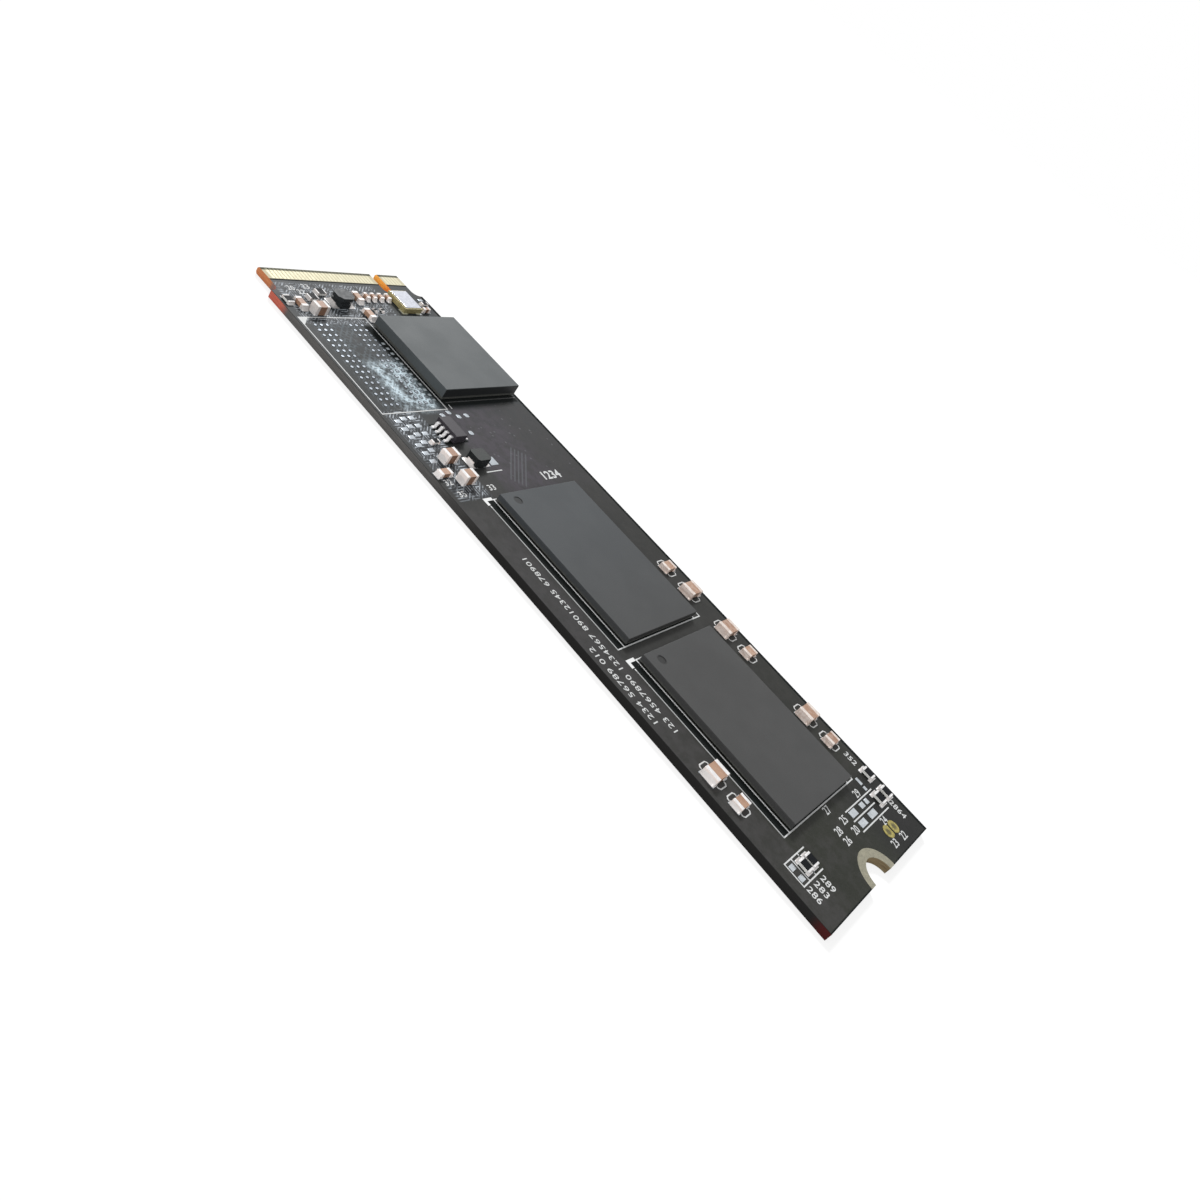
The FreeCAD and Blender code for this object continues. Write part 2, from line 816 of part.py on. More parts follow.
def make_outlines():
    """Printed outlines of the packages and pad groups."""
    half_width = memory_outline_width / 2
    half_length = memory_outline_length / 2
    lines = [flash_lines(y) for y in flash_rows]
    lines += [
        frame_outline(
            memory_x - half_width, memory_x + half_width,
            memory_y - half_length, memory_y + half_length,
        ),
        stroke(
            controller_x - controller_size / 2 + 0.6, controller_near - 0.3,
            controller_x + controller_size / 2, controller_near - 0.3,
        ),
        stroke(-0.75, controller_near - 1.2, -0.75, controller_near - 0.7),
        stroke(-3.8, controller_near - 10.15, -1.6, controller_near - 10.15),
    ]
    row = near_end + 4.62
    reach = 1.04
    lines.append(
        fused([
            frame_outline(-9.6, -8.46, row - reach, row + reach),
            stroke(-8.46, row + reach, -6.05, row + reach),
            stroke(-7.3, row + reach, -7.3, row + reach - 0.16),
            stroke(-8.46, row - reach, -6.05, row - reach),
            stroke(-7.3, row - reach, -7.3, row - reach + 0.16),
        ])
    )
    for start, end, y in ((2.45, 8.45, 5.46), (2.45, 7.2, 4.46), (2.45, 8.45, 3.4)):
        lines.append(stroke(start, near_end + y, end, near_end + y))
    return lines


def make_marks():
    """Printed solid marks: the corner marks and the triangle at the memory position."""
    left = memory_x - memory_outline_width / 2 + ink_line / 2
    far = memory_y + memory_outline_length / 2 - ink_line / 2
    side = memory_triangle_side
    triangle = prism([(left, far), (left, far - side), (left + side, far)], top, ink_top)
    return [flash_mark(y) for y in flash_rows] + [triangle]


def make_bracket(x, y, way, span, depth):
    """A printed bracket open towards the part that it belongs to."""
    outer = cut_corner_block((x, y), span, 2 * depth, depth / 2, top, ink_top)
    inner = cut_corner_block(
        (x, y), span - 2 * ink_line, 2 * (depth - ink_line), (depth - ink_line) / 2, top, ink_top
    )
    keep = sorted((y, y + way * 2 * depth))
    return outer.cut(inner).common(box(x - span, x + span, keep[0], keep[1], top, ink_top))


def make_brackets():
    """A bracket on each long side of every capacitor at the board's edges."""
    brackets = []
    for chip, places in ((large_capacitor, large_places), (medium_capacitor, medium_places)):
        clear = chip["pad_width"] / 2 + bracket_gap
        for place in places:
            for way in (-1, 1):
                y = place[1] + way * clear
                brackets.append(make_bracket(place[0], y, way, bracket_span, bracket_depth))
    return brackets


def make_all():
    """Build and write every node."""
    os.makedirs("parts", exist_ok=True)
    upper = make_fingers(-finger_pitch / 4, top_finger_length, top - plating_thickness, top)
    lower = make_fingers(finger_pitch / 4, bottom_finger_length, 0, plating_thickness)
    land = make_screw_land()
    save("circuit_board", make_board(upper + lower + land))
    save("edge_contacts_top", group(upper))
    save("edge_contacts_bottom", group(lower))
    save("screw_land", group(land))
    make_controller()
    for number, y in enumerate(flash_rows, 1):
        make_flash(f"flash_{number}", y)
    save("memory_footprint_pads", group(make_memory_pads()))
    pads = make_inductor("input_inductor", input_inductor_place, input_inductor)
    pads += make_inductor("output_inductor", output_inductor_place, output_inductor)
    pads += make_crystal()
    pads += make_regulator()
    pads += make_capacitors("large_capacitor", large_capacitor, large_places)
    pads += make_capacitors("medium_capacitor", medium_capacitor, medium_places)
    pads += make_capacitors("tall_capacitor", tall_capacitor, tall_places)
    pads += make_capacitors("small_capacitor", small_capacitor, small_places)
    pads += make_capacitors("bypass_capacitor", bypass_capacitor, bypass_places)
    pads += make_capacitors("coupling_capacitor", coupling_capacitor, coupling_places)
    make_resistors("resistor", chip_resistor, resistor_places)
    narrow_pad_places = wide_far_places + wide_left_places
    make_resistors("wide_resistor", wide_resistor, narrow_pad_places + wide_right_places)
    make_resistors("small_resistor", small_resistor, small_resistor_places)
    for place in resistor_places:
        pads += chip_pads(place, chip_resistor)
    for place in narrow_pad_places:
        pads += chip_pads(place, wide_resistor)
    for place in wide_right_places:
        pads += chip_pads(place, wide_resistor, wide_pad_right)
    for place in small_resistor_places:
        pads += chip_pads(place, small_resistor)
    save("component_pads", group(pads))
    save("bare_pads", group(make_bare_pads()))
    save("jumper_pads", group(make_jumper_pads()))
    save("outline_ink", group(make_outlines()))
    save("marker_ink", group(make_marks()))
    save("bracket_ink", group(make_brackets()))


make_all()
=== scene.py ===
import json
import math

import bmesh
import bpy
from mathutils import Matrix, Vector


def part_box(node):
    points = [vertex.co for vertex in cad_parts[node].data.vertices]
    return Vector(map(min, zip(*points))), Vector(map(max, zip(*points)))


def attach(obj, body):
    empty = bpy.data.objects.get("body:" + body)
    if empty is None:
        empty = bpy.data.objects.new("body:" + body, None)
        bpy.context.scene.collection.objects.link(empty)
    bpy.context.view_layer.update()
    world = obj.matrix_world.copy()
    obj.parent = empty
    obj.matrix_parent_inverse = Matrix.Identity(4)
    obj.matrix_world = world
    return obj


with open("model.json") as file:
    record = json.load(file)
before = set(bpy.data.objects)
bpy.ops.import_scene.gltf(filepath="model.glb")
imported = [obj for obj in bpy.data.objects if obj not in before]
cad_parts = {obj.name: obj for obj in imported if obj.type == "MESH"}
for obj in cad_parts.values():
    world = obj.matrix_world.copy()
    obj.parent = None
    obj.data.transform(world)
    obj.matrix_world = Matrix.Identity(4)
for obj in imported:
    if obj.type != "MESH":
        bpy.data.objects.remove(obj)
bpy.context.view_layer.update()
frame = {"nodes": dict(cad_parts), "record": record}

# Lengths below are in millimetres, and MM turns them into metres
MM = 0.001


def box_of(node):
    """The lowest and highest corner of a CAD node, in millimetres."""
    return [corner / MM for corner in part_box(node)]


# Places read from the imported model, in millimetres
board_low, board_high = box_of("circuit_board")
controller_low, controller_high = box_of("controller_substrate")
memory_low, memory_high = box_of("memory_footprint_pads")
leads_low, leads_high = box_of("regulator_leads")
fingers_low, fingers_high = box_of("edge_contacts_top")
flash_boxes = [box_of(f"flash_{n}_substrate") for n in (1, 2)]
pad_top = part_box("component_pads")[1].z / MM
ink_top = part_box("outline_ink")[1].z / MM
top = board_high.z
tip = board_high.y
near_end = board_low.y
half_width = board_high.x

# Camera at the photograph's viewing angle, fitted through the card's known outline
CAMERA_PLACE = (-82.865, -33.767, 50.526)
CAMERA_TURN = (54.526, -29.590, -45.224)
CAMERA_LENS = 32.5676
CAMERA_SENSOR = 36.0
CAMERA_SHIFT = (0.07439, -0.06837)
CAMERA_NEAR = 0.002
CAMERA_FAR = 20.0

# Lamps: name, direction it shines from, angle of its disc in degrees, strength
LAMPS = (
    ("key", Vector((0.50, 0.62, 0.62)), 12.0, 2.3),
    ("side", Vector((-1.0, -0.4, 0.35)), 25.0, 1.05),
)
WORLD_FILL = 0.46
WORLD_SEEN = 1.0

# Floor: its size and how far it lies below the board, its tone for the object's light, and the tone
# and glow that together show it white with the card's shadow
FLOOR_SIZE = 3000.0
FLOOR_DROP = 0.02
FLOOR_TONE = 0.8
FLOOR_SEEN_TONE = 0.28
FLOOR_SEEN_GLOW = 0.78

# Card form: tongue, key slot, screw notch, gap between mask and fingers, bare border of the mask
TONGUE_LENGTH = 4.0
KEY_PLACE = 6.125
KEY_HALF = 0.7
NOTCH_HALF = 1.85
NOTCH_DEPTH = 2.0
MASK_END_GAP = 0.08
BORDER = 0.42

# Empty memory position: pitch of its pads, and where its two groups of columns start and how wide they are
BALL_PITCH = 0.8
BALL_COLUMNS = (-3.6, 1.2)
BALL_COLUMN_WIDTH = 2.4

# Row of bare vias between the memory position and the controller
VIA_ROW = (-2.35, -1.95)

# Round dimple at the first ball of a flash package
DIMPLE_RADIUS = 0.5
DIMPLE_INSET = (1.65, 1.1)

# Tones of the solder mask over copper, from the screw end to the fingers; the bluish tone towards the
# fingers is partly a painted sheen
MASK_OLIVE = (0.023, 0.025, 0.018)
MASK_GREY = (0.035, 0.035, 0.035)
MASK_BLUISH_SHEEN = (0.029, 0.036, 0.042)
MASK_DEEP = (0.022, 0.024, 0.021)
MASK_MOTTLE = (0.046, 0.045, 0.043)
MASK_GRAIN = (0.062, 0.062, 0.058)
MASK_PURPLE = (0.064, 0.056, 0.069)
MASK_PLAIN = (0.041, 0.040, 0.042)
MASK_LEFT = ((0.036, 0.036, 0.034), (0.074, 0.070, 0.073))
MASK_RIGHT = (0.016, 0.016, 0.014)
MASK_CORNER = (0.013, 0.013, 0.015)

# Tones of the mask where no copper lies below it; beside the controller, the flash packages' near ends and
# the regulator's leads these also stand for painted shadow
BARE_MASK = ((0.006, 0.008, 0.008), (0.016, 0.018, 0.017))

# Tones of the crowded areas, the tracks and the vias, and of the painted glare and glints on the memory
# position's lines
CROWD_FIELD = (0.070, 0.076, 0.086)
CROWD_TRACKS = (0.42, 0.46, 0.50)
# Dark patches among the crowded parts: dark parts and painted shadow
CROWD_DARK_AND_SHADE = (0.012, 0.014, 0.016)
BUS_TONE = (0.12, 0.13, 0.14)
FAN_TONE = (0.16, 0.20, 0.23)
PAINTED_GLARE_TONE = (0.66, 0.80, 0.88)
PAINTED_GLINT_TONE = (0.90, 0.94, 0.96)
RING_TONE = (0.012, 0.014, 0.016)
# Tone of the row of vias, raised as painted light to stand out of the controller's shadow
ROW_VIA_TONE = (0.62, 0.68, 0.72)
VIA_TONE = (0.12, 0.12, 0.13)

# Tones of the bare laminate and of the cut edge, dark layer first
LAMINATE = ((0.58, 0.53, 0.37), (0.72, 0.67, 0.50))
# Dark tone at the tip: painted shade on the bevel that faces away
LAMINATE_TIP_SHADE = (0.10, 0.10, 0.07)
# The cut edge is painted lighter towards the far end and darker towards the near end: painted light and
# shade
EDGE_FAR_LIT = ((0.072, 0.070, 0.068), (0.158, 0.152, 0.147))
EDGE_NEAR = (0.017, 0.0165, 0.016)
EDGE_SHOULDER = (0.20, 0.165, 0.15)
EDGE_TONGUE = ((0.42, 0.13, 0.06), (0.66, 0.28, 0.12))
SLOT_OUTER = ((0.82, 0.34, 0.05), (0.98, 0.56, 0.14))
SLOT_INNER = ((0.56, 0.12, 0.03), (0.90, 0.26, 0.06))
EDGE_RED = ((0.34, 0.055, 0.040), (0.64, 0.19, 0.13))
EDGE_NEAR_RED = (0.075, 0.010, 0.010)
# Notch wall, darkened to stand partly for the shade in the notch: painted shade
NOTCH_WALL_SHADED = ((0.07, 0.045, 0.02), (0.32, 0.25, 0.15))

# Tones of the capacitors' ends along the right edge, dark blotch first, their upright sides painted light,
# and of ends at the far left
RIGHT_END_SIDES_LIT = ((0.80, 0.64, 0.56), (0.93, 0.80, 0.73))
RIGHT_END_TOPS = ((0.70, 0.60, 0.54), (0.84, 0.77, 0.72))
FAR_LEFT_ENDS = (0.36, 0.35, 0.34)

# Grained slots: colour, grain, spread of tone, roughness, bump, and where needed metallic and specular
GRAINED = {
    "land_plating": ((0.28, 0.265, 0.195), 0.12, 0.2, 0.45, 0.004, 0.35, 0.5),
    "substrate": ((0.055, 0.057, 0.052), 0.06, 0.2, 0.55, 0.004),
    "silicon": ((0.12, 0.12, 0.14), 0.3, 0.08, 0.18, 0.0005, 0.6),
    "winding": ((0.60, 0.30, 0.16), 0.08, 0.1, 0.3, 0.002, 0.9),
    "crystal_ceramic": ((0.42, 0.36, 0.17), 0.10, 0.16, 0.42, 0.004, 0.25),
    "quartz": ((0.85, 0.87, 0.88), 0.2, 0.03, 0.1, 0.0005),
    "alumina": ((0.78, 0.78, 0.75), 0.05, 0.06, 0.5, 0.003),
    "resistor_coat": ((0.004, 0.005, 0.007), 0.08, 0.25, 0.5, 0.002, 0.0, 0.06),
}

# Metal slots: colour, roughness, size of crystals, bump, metallic, and painted light on the ends' upright
# sides if any
METALS = {
    "solder": ((0.82, 0.78, 0.76), 0.34, 0.3, 0.0012, 0.2, (0.82, 0.78, 0.76)),
    "ball_pad": ((0.47, 0.52, 0.58), 0.20, 0.2, 0.0008, 0.9),
    "crystal_metal": ((0.72, 0.74, 0.82), 0.13, 0.3, 0.0006, 1.0),
    "tin": ((0.91, 0.90, 0.90), 0.40, 0.3, 0.0008, 0.05, (0.98, 0.88, 0.83)),
}

# Chip parts that stand in solder
CHIP_KINDS = (
    "large_capacitor", "medium_capacitor", "tall_capacitor", "small_capacitor", "bypass_capacitor",
    "coupling_capacitor", "resistor", "wide_resistor", "small_resistor", "input_inductor",
    "output_inductor",
)

# Solder fillets: how far they climb a terminal, how much less at their ends, how hollow they are, the
# film left at the rim, the overlap with the terminal, the least reach, and steps along each side
SOLDER_RISE = 0.92
SOLDER_END_DROP = 0.45
SOLDER_HOLLOW = 1.6
SOLDER_FILM = 0.012
SOLDER_OVERLAP = 0.03
SOLDER_LEAST_OUT = 0.03
SOLDER_LEAST_WIDE = 0.02
SOLDER_RIM_GAP = 0.015
SOLDER_STEPS = 6
SOLDER_PROFILE = (0.0, 0.10, 0.22, 0.38, 0.58, 0.80, 1.0)

# Tin domes on bare pads: shares of width and height from the rim up
TIN_INSET = 0.03
TIN_HEIGHT = 0.015
TIN_CORNER = 0.12
TIN_PROFILE = ((1.0, 0.0), (1.0, 0.35), (0.86, 0.8), (0.55, 1.0))

# Plain numbers beside the parts: text, place, turn in degrees
PART_NUMBERS = (
    ("286", (-9.26, -37.35), -90), ("283", (-8.05, -37.42), -90), ("289", (-6.87, -37.46), -90),
    ("28", (-0.49, -35.24), 0), ("26", (-0.44, -36.23), 0), ("25", (1.34, -34.86), 0),
    ("20", (1.68, -36.05), 0), ("27", (0.41, -33.43), 0), ("29", (6.03, -34.0), 0),
    ("352", (9.6, -31.5), -90), ("2864", (9.52, -37.23), -90), ("24", (6.32, -37.08), 0),
    ("23", (5.03, -38.93), 0), ("22", (7.03, -38.98), 0),
    ("20", (-8.2, 36.5), 0), ("23", (-6.0, 36.85), 0), ("22", (-7.2, 35.9), 0),
    ("32", (-9.85, 8.0), 0), ("35", (-9.4, 6.4), 0), ("33", (-5.0, 6.6), 0),
)
PART_NUMBER_HEIGHT = 0.72
PART_NUMBER_PITCH = 0.47
PART_NUMBER_BOLDNESS = 0.012

# The larger number above the first flash package
LARGE_NUMBER = ("1234", (4.85, 6.95))
LARGE_NUMBER_HEIGHT = 1.05
LARGE_NUMBER_BOLDNESS = 0.035

# Rows of running digits along the left edge: text, place across, start and end along
NUMBER_ROWS = (
    ("123 4567890 1234567 89012345 678901", -8.75, -21.6, -1.9),
    ("1234 56789 012", -10.1, -20.2, -12.0),
)
NUMBER_ROW_HEIGHT = 0.62

# Printed digits: their height as a share of the font's size, their spacing, and steps in a curve
DIGIT_SHARE = 0.7
DIGIT_SPACING = 1.05
DIGIT_STEPS = 3


class Graph:
    """A material's nodes, built up by short calls."""

    def __init__(self, name):
        self.material = bpy.data.materials.new(name)
        self.material.use_nodes = True
        self.tree = self.material.node_tree
        self.tree.nodes.clear()
        output = self.tree.nodes.new("ShaderNodeOutputMaterial")
        self.shader = self.tree.nodes.new("ShaderNodeBsdfPrincipled")
        self.tree.links.new(self.shader.outputs[0], output.inputs["Surface"])
        coordinates = self.tree.nodes.new("ShaderNodeTexCoord")
        self.place = coordinates.outputs["Object"]
        self.normal = coordinates.outputs["Normal"]

    def feed(self, socket, value):
        """Link a socket to another, or set its value."""
        if isinstance(value, bpy.types.NodeSocket):
            self.tree.links.new(value, socket)
        elif isinstance(value, tuple) and len(value) == 3 and socket.type == "RGBA":
            socket.default_value = (*value, 1.0)
        else:
            socket.default_value = value

    def math(self, operation, a, b=0.0):
        """One arithmetic node."""
        node = self.tree.nodes.new("ShaderNodeMath")
        node.operation = operation
        for socket, value in zip(node.inputs, (a, b)):
            self.feed(socket, value)
        return node.outputs[0]

    def times(self, first, *others):
        """Several values multiplied together."""
        for other in others:
            first = self.math("MULTIPLY", first, other)
        return first

    def outside(self, mask):
        """One where a mask is nought."""
        return self.math("SUBTRACT", 1.0, mask)

    def any_of(self, values):
        """The largest of several masks."""
        found = values[0]
        for value in values[1:]:
            found = self.math("MAXIMUM", found, value)
        return found

    def away(self, across, along):
        """The distance that two sides at a right angle span."""
        squares = self.math("ADD", self.math("POWER", across, 2.0), self.math("POWER", along, 2.0))
        return self.math("SQRT", squares)

    def mix(self, factor, a, b):
        """A colour between two others."""
        node = self.tree.nodes.new("ShaderNodeMix")
        node.data_type = "RGBA"
        self.feed(node.inputs["Factor"], factor)
        self.feed(node.inputs[6], a)
        self.feed(node.inputs[7], b)
        return node.outputs[2]

    def ramp(self, value, low, high, to_low=0.0, to_high=1.0):
        """A value brought smoothly from one range into another."""
        node = self.tree.nodes.new("ShaderNodeMapRange")
        node.interpolation_type = "SMOOTHSTEP"
        for name, number in zip(
            ("Value", "From Min", "From Max", "To Min", "To Max"),
            (value, low, high, to_low, to_high),
        ):
            self.feed(node.inputs[name], number)
        return node.outputs[0]

    def slope(self, value, low, high, to_low=0.0, to_high=1.0):
        """A ramp between two places along an axis, in millimetres."""
        return self.ramp(value, low * MM, high * MM, to_low, to_high)

    def split(self, vector):
        """The three parts of a vector."""
        node = self.tree.nodes.new("ShaderNodeSeparateXYZ")
        self.feed(node.inputs[0], vector)
        return node.outputs

    def plan(self):
        """The places across and along the board."""
        return self.split(self.place)[:2]

    def stretched(self, scale):
        """Object places multiplied along each axis."""
        node = self.tree.nodes.new("ShaderNodeVectorMath")
        node.operation = "MULTIPLY"
        self.feed(node.inputs[0], self.place)
        node.inputs[1].default_value = scale
        return node.outputs[0]

    def noise(self, size, detail=3.0, roughness=0.55, vector=None):
        """Cloudy noise whose grains are about so many millimetres."""
        node = self.tree.nodes.new("ShaderNodeTexNoise")
        self.feed(node.inputs["Vector"], self.place if vector is None else vector)
        node.inputs["Scale"].default_value = 1.0 / (size * MM)
        node.inputs["Detail"].default_value = detail
        node.inputs["Roughness"].default_value = roughness
        return node.outputs["Fac"]

    def cells(self, size):
        """Distance to scattered points about so many millimetres apart."""
        node = self.tree.nodes.new("ShaderNodeTexVoronoi")
        self.feed(node.inputs["Vector"], self.place)
        node.inputs["Scale"].default_value = 1.0 / (size * MM)
        return node.outputs["Distance"]

    def bump(self, height, distance, strength=1.0, below=None):
        """A bump of so many millimetres."""
        node = self.tree.nodes.new("ShaderNodeBump")
        node.inputs["Strength"].default_value = strength
        node.inputs["Distance"].default_value = distance * MM
        self.feed(node.inputs["Height"], height)
        if below is not None:
            self.feed(node.inputs["Normal"], below)
        return node.outputs[0]

    def band(self, value, low, high, soft):
        """One between two places along an axis in millimetres, and nought outside them."""
        rise = self.slope(value, low - soft, low + soft)
        fall = self.slope(value, high - soft, high + soft, 1.0, 0.0)
        return self.times(rise, fall)

    def patch(self, x, y, low, high, soft):
        """One inside a rectangle seen from above."""
        across = self.band(x, low[0], high[0], soft)
        return self.times(across, self.band(y, low[1], high[1], soft))

    def spot(self, x, y, centre, radius, soft):
        """One inside a circle seen from above."""
        across = self.math("SUBTRACT", x, centre[0] * MM)
        along = self.math("SUBTRACT", y, centre[1] * MM)
        return self.slope(self.away(across, along), radius - soft, radius + soft, 1.0, 0.0)

    def surface(self, colour, roughness, metallic=0.0, specular=0.5, normal=None):
        """Set what the shader shows."""
        self.feed(self.shader.inputs["Base Color"], colour)
        self.feed(self.shader.inputs["Roughness"], roughness)
        self.shader.inputs["Metallic"].default_value = metallic
        self.shader.inputs["Specular IOR Level"].default_value = specular
        if normal is not None:
            self.feed(self.shader.inputs["Normal"], normal)
        return self.material


def shade(colour, factor):
    """A colour made darker or lighter."""
    return tuple(min(1.0, part * factor) for part in colour)


def grained(name, colour, grain, spread, roughness, bump, metallic=0.0, specular=0.5):
    """A surface with a fine grain over slow changes of tone."""
    graph = Graph(name)
    fine = graph.noise(grain, 2.0)
    slow = graph.noise(grain * 4.0, 3.0)
    tone = graph.math("ADD", graph.times(fine, 0.5), graph.times(slow, 0.5))
    low, high = shade(colour, 1.0 - spread), shade(colour, 1.0 + spread)
    shown = graph.mix(graph.ramp(tone, 0.3, 0.7), low, high)
    rough = graph.ramp(slow, 0.3, 0.7, roughness * 0.88, min(1.0, roughness * 1.12))
    normal = graph.bump(fine, bump)
    return graph.surface(shown, rough, metallic, specular, normal)


def copper_areas(graph, x, y):
    """One where copper lies below the mask: not at the board's edges, nor beside the packages; the bare
    strips by the controller, the flash packages' near ends and the regulator's leads are partly painted
    shadow.
    """
    inside = graph.patch(
        x, y, (board_low.x + 0.06, near_end + 0.12), (half_width - BORDER, fingers_low.y - 0.3), 0.05
    )
    # Copper-free strips; those along the flash packages' near ends, beside the controller and round the
    # regulator's leads also stand for painted shadow
    free = []
    for low, high in flash_boxes:
        free.append(graph.patch(x, y, (low.x - 1.14, low.y - 0.1), (low.x - 0.02, high.y + 0.1), 0.06))
        free.append(graph.patch(x, y, (low.x - 0.4, low.y - 0.16), (high.x + 0.1, low.y + 0.2), 0.05))
    low, high = controller_low, controller_high
    free.append(graph.patch(x, y, (low.x - 1.3, low.y), (low.x + 0.2, high.y), 0.25))
    free.append(graph.patch(x, y, (low.x, low.y - 0.95), (high.x, low.y + 0.2), 0.2))
    low, high = leads_low, leads_high
    free.append(graph.patch(x, y, (low.x - 0.1, low.y - 0.3), (high.x, high.y + 0.3), 0.1))
    return graph.times(inside, graph.outside(graph.any_of(free)))


def stripes(graph, value, step, share):
    """Parallel lines so many millimetres apart that cover a share of each step."""
    phase = graph.math("FRACT", graph.math("DIVIDE", value, step * MM))
    from_middle = graph.math("ABSOLUTE", graph.math("SUBTRACT", phase, 0.5))
    return graph.ramp(from_middle, share * 0.7, share, 1.0, 0.0)


def track_masks(graph, x, y):
    """Masks of copper tracks: a bus, the memory position's fan-out, and short crowded runs."""
    across = graph.times(graph.math("SUBTRACT", x, y), math.sqrt(0.5))
    along = graph.times(graph.math("ADD", x, y), math.sqrt(0.5))
    bus = graph.times(
        stripes(graph, across, 0.42, 0.22),
        graph.band(across, -6.3, -4.2, 0.03),
        graph.band(along, 4.0, 9.8, 0.2),
    )
    fan = graph.any_of([stripes(graph, along, 0.56, 0.2), stripes(graph, across, 0.56, 0.24)])
    where = graph.noise(1.2, 1.0)
    between = graph.times(graph.ramp(where, 0.425, 0.455), graph.ramp(where, 0.545, 0.575, 1.0, 0.0))
    runs = graph.any_of([
        graph.times(stripes(graph, x, 0.34, 0.22), graph.ramp(where, 0.40, 0.44, 1.0, 0.0)),
        graph.times(stripes(graph, across, 0.32, 0.22), between),
        graph.times(stripes(graph, y, 0.34, 0.22), graph.ramp(where, 0.55, 0.58)),
    ])
    return bus, fan, runs


def mask_tone(graph, x, y, slow, fine):
    """Solder mask over copper: olive at the screw end, bluish towards the fingers as a partly painted
    sheen, mottled.
    """
    mottle = graph.noise(1.3, 3.0, 0.6)
    mask = graph.mix(graph.slope(y, -38.0, -4.0), MASK_OLIVE, MASK_GREY)
    mask = graph.mix(graph.slope(y, 4.0, 26.0), mask, MASK_BLUISH_SHEEN)
    mask = graph.mix(graph.ramp(slow, 0.35, 0.65, 0.0, 0.45), mask, MASK_DEEP)
    mask = graph.mix(graph.ramp(mottle, 0.42, 0.68, 0.0, 0.55), mask, MASK_MOTTLE)
    mask = graph.mix(graph.ramp(fine, 0.3, 0.7, 0.0, 0.18), mask, MASK_GRAIN)

    # A purplish field between the controller and the first flash package
    field = graph.patch(x, y, (-3.2, 4.8), (10.6, controller_low.y - 1.3), 0.6)
    cloud = graph.ramp(graph.noise(1.0, 3.0, 0.65), 0.3, 0.65, 0.2, 0.85)
    tint = graph.mix(graph.slope(x, 2.5, 7.0), MASK_PURPLE, MASK_PLAIN)
    mask = graph.mix(graph.times(field, cloud), mask, tint)

    # Beside the flash packages the left strip is paler and the right one darker, as is one corner
    beside = graph.slope(y, 3.0, 6.0, 1.0, 0.0)
    left_strip = graph.times(beside, graph.slope(x, -7.9, -7.1, 0.5, 0.0))
    mask = graph.mix(left_strip, mask, graph.mix(cloud, *MASK_LEFT))
    right_strip = graph.times(beside, graph.slope(x, 6.2, 7.4, 0.0, 0.3))
    mask = graph.mix(right_strip, mask, MASK_RIGHT)
    corner = graph.patch(x, y, (4.2, near_end - 3.0), (14.0, near_end + 6.8), 1.6)
    return graph.mix(graph.times(corner, 0.6), mask, MASK_CORNER)


def add_crowd(graph, x, y, mask, runs):
    """Short pale runs and dark patches in the crowded areas, left of the controller and beyond it; the
    dark patches stand for dark parts and painted shadow.
    """
    tangled = graph.times(runs, graph.ramp(graph.noise(0.6, 2.0), 0.38, 0.6, 0.25, 1.0))
    crowded = graph.any_of([
        graph.patch(x, y, (-10.3, 5.6), (-6.0, controller_low.y - 0.9), 0.3),
        graph.patch(x, y, (-10.0, controller_high.y + 0.3), (4.0, fingers_low.y - 0.7), 0.2),
    ])
    mask = graph.mix(graph.times(crowded, 0.6), mask, CROWD_FIELD)
    mask = graph.mix(graph.times(crowded, tangled), mask, CROWD_TRACKS)
    # Dark patches that stand for dark parts and painted shadow between them
    dark_parts_and_shade = graph.ramp(graph.noise(0.75, 1.0), 0.52, 0.60, 0.0, 0.8)
    return graph.mix(graph.times(crowded, dark_parts_and_shade), mask, CROWD_DARK_AND_SHADE)


def broken_fan(graph, x, y, fan_tracks):
    """The fan-out of the empty memory position, broken in places."""
    area = graph.patch(
        x, y, (memory_low.x - 0.3, memory_low.y - 0.4), (controller_low.x - 1.2, memory_high.y + 0.3), 0.2
    )
    broken = graph.ramp(graph.noise(0.9, 2.0), 0.42, 0.55)
    return graph.times(fan_tracks, graph.times(broken, area))


def ball_clearings(graph, x, y):
    """Masks of the dark rings round the pads of the empty memory position."""
    centre = (memory_low + memory_high) / 2

    def from_pad(value, middle, offset):
        """Distance along one axis to the nearest pad."""
        steps = graph.math("DIVIDE", graph.math("SUBTRACT", value, middle * MM), BALL_PITCH * MM)
        phase = graph.math("FRACT", graph.math("ADD", steps, 40.0 + offset))
        return graph.times(graph.math("SUBTRACT", phase, 0.5), BALL_PITCH)

    away = graph.away(from_pad(x, centre.x, 0.5), from_pad(y, centre.y, 0.0))
    rings = graph.ramp(away, 0.22, 0.34, 0.85, 0.0)
    columns = graph.any_of([
        graph.band(x, centre.x + start, centre.x + start + BALL_COLUMN_WIDTH, 0.02)
        for start in BALL_COLUMNS
    ])
    rows = graph.band(y, memory_low.y - 0.2, memory_high.y + 0.2, 0.02)
    return graph.times(rings, graph.times(columns, rows))


def row_vias(graph, x, y):
    """Bare vias at a regular pitch along the controller's side, painted bright against its shadow."""
    phase = graph.math("FRACT", graph.math("DIVIDE", y, BALL_PITCH * MM))
    away = graph.math("ABSOLUTE", graph.math("SUBTRACT", phase, 0.5))
    row = graph.band(y, controller_low.y + 0.1, controller_high.y - 2.5, 0.2)
    vias = graph.times(row, graph.ramp(away, 0.16, 0.26, 1.0, 0.0))
    return graph.times(graph.band(x, *VIA_ROW, 0.06), vias)


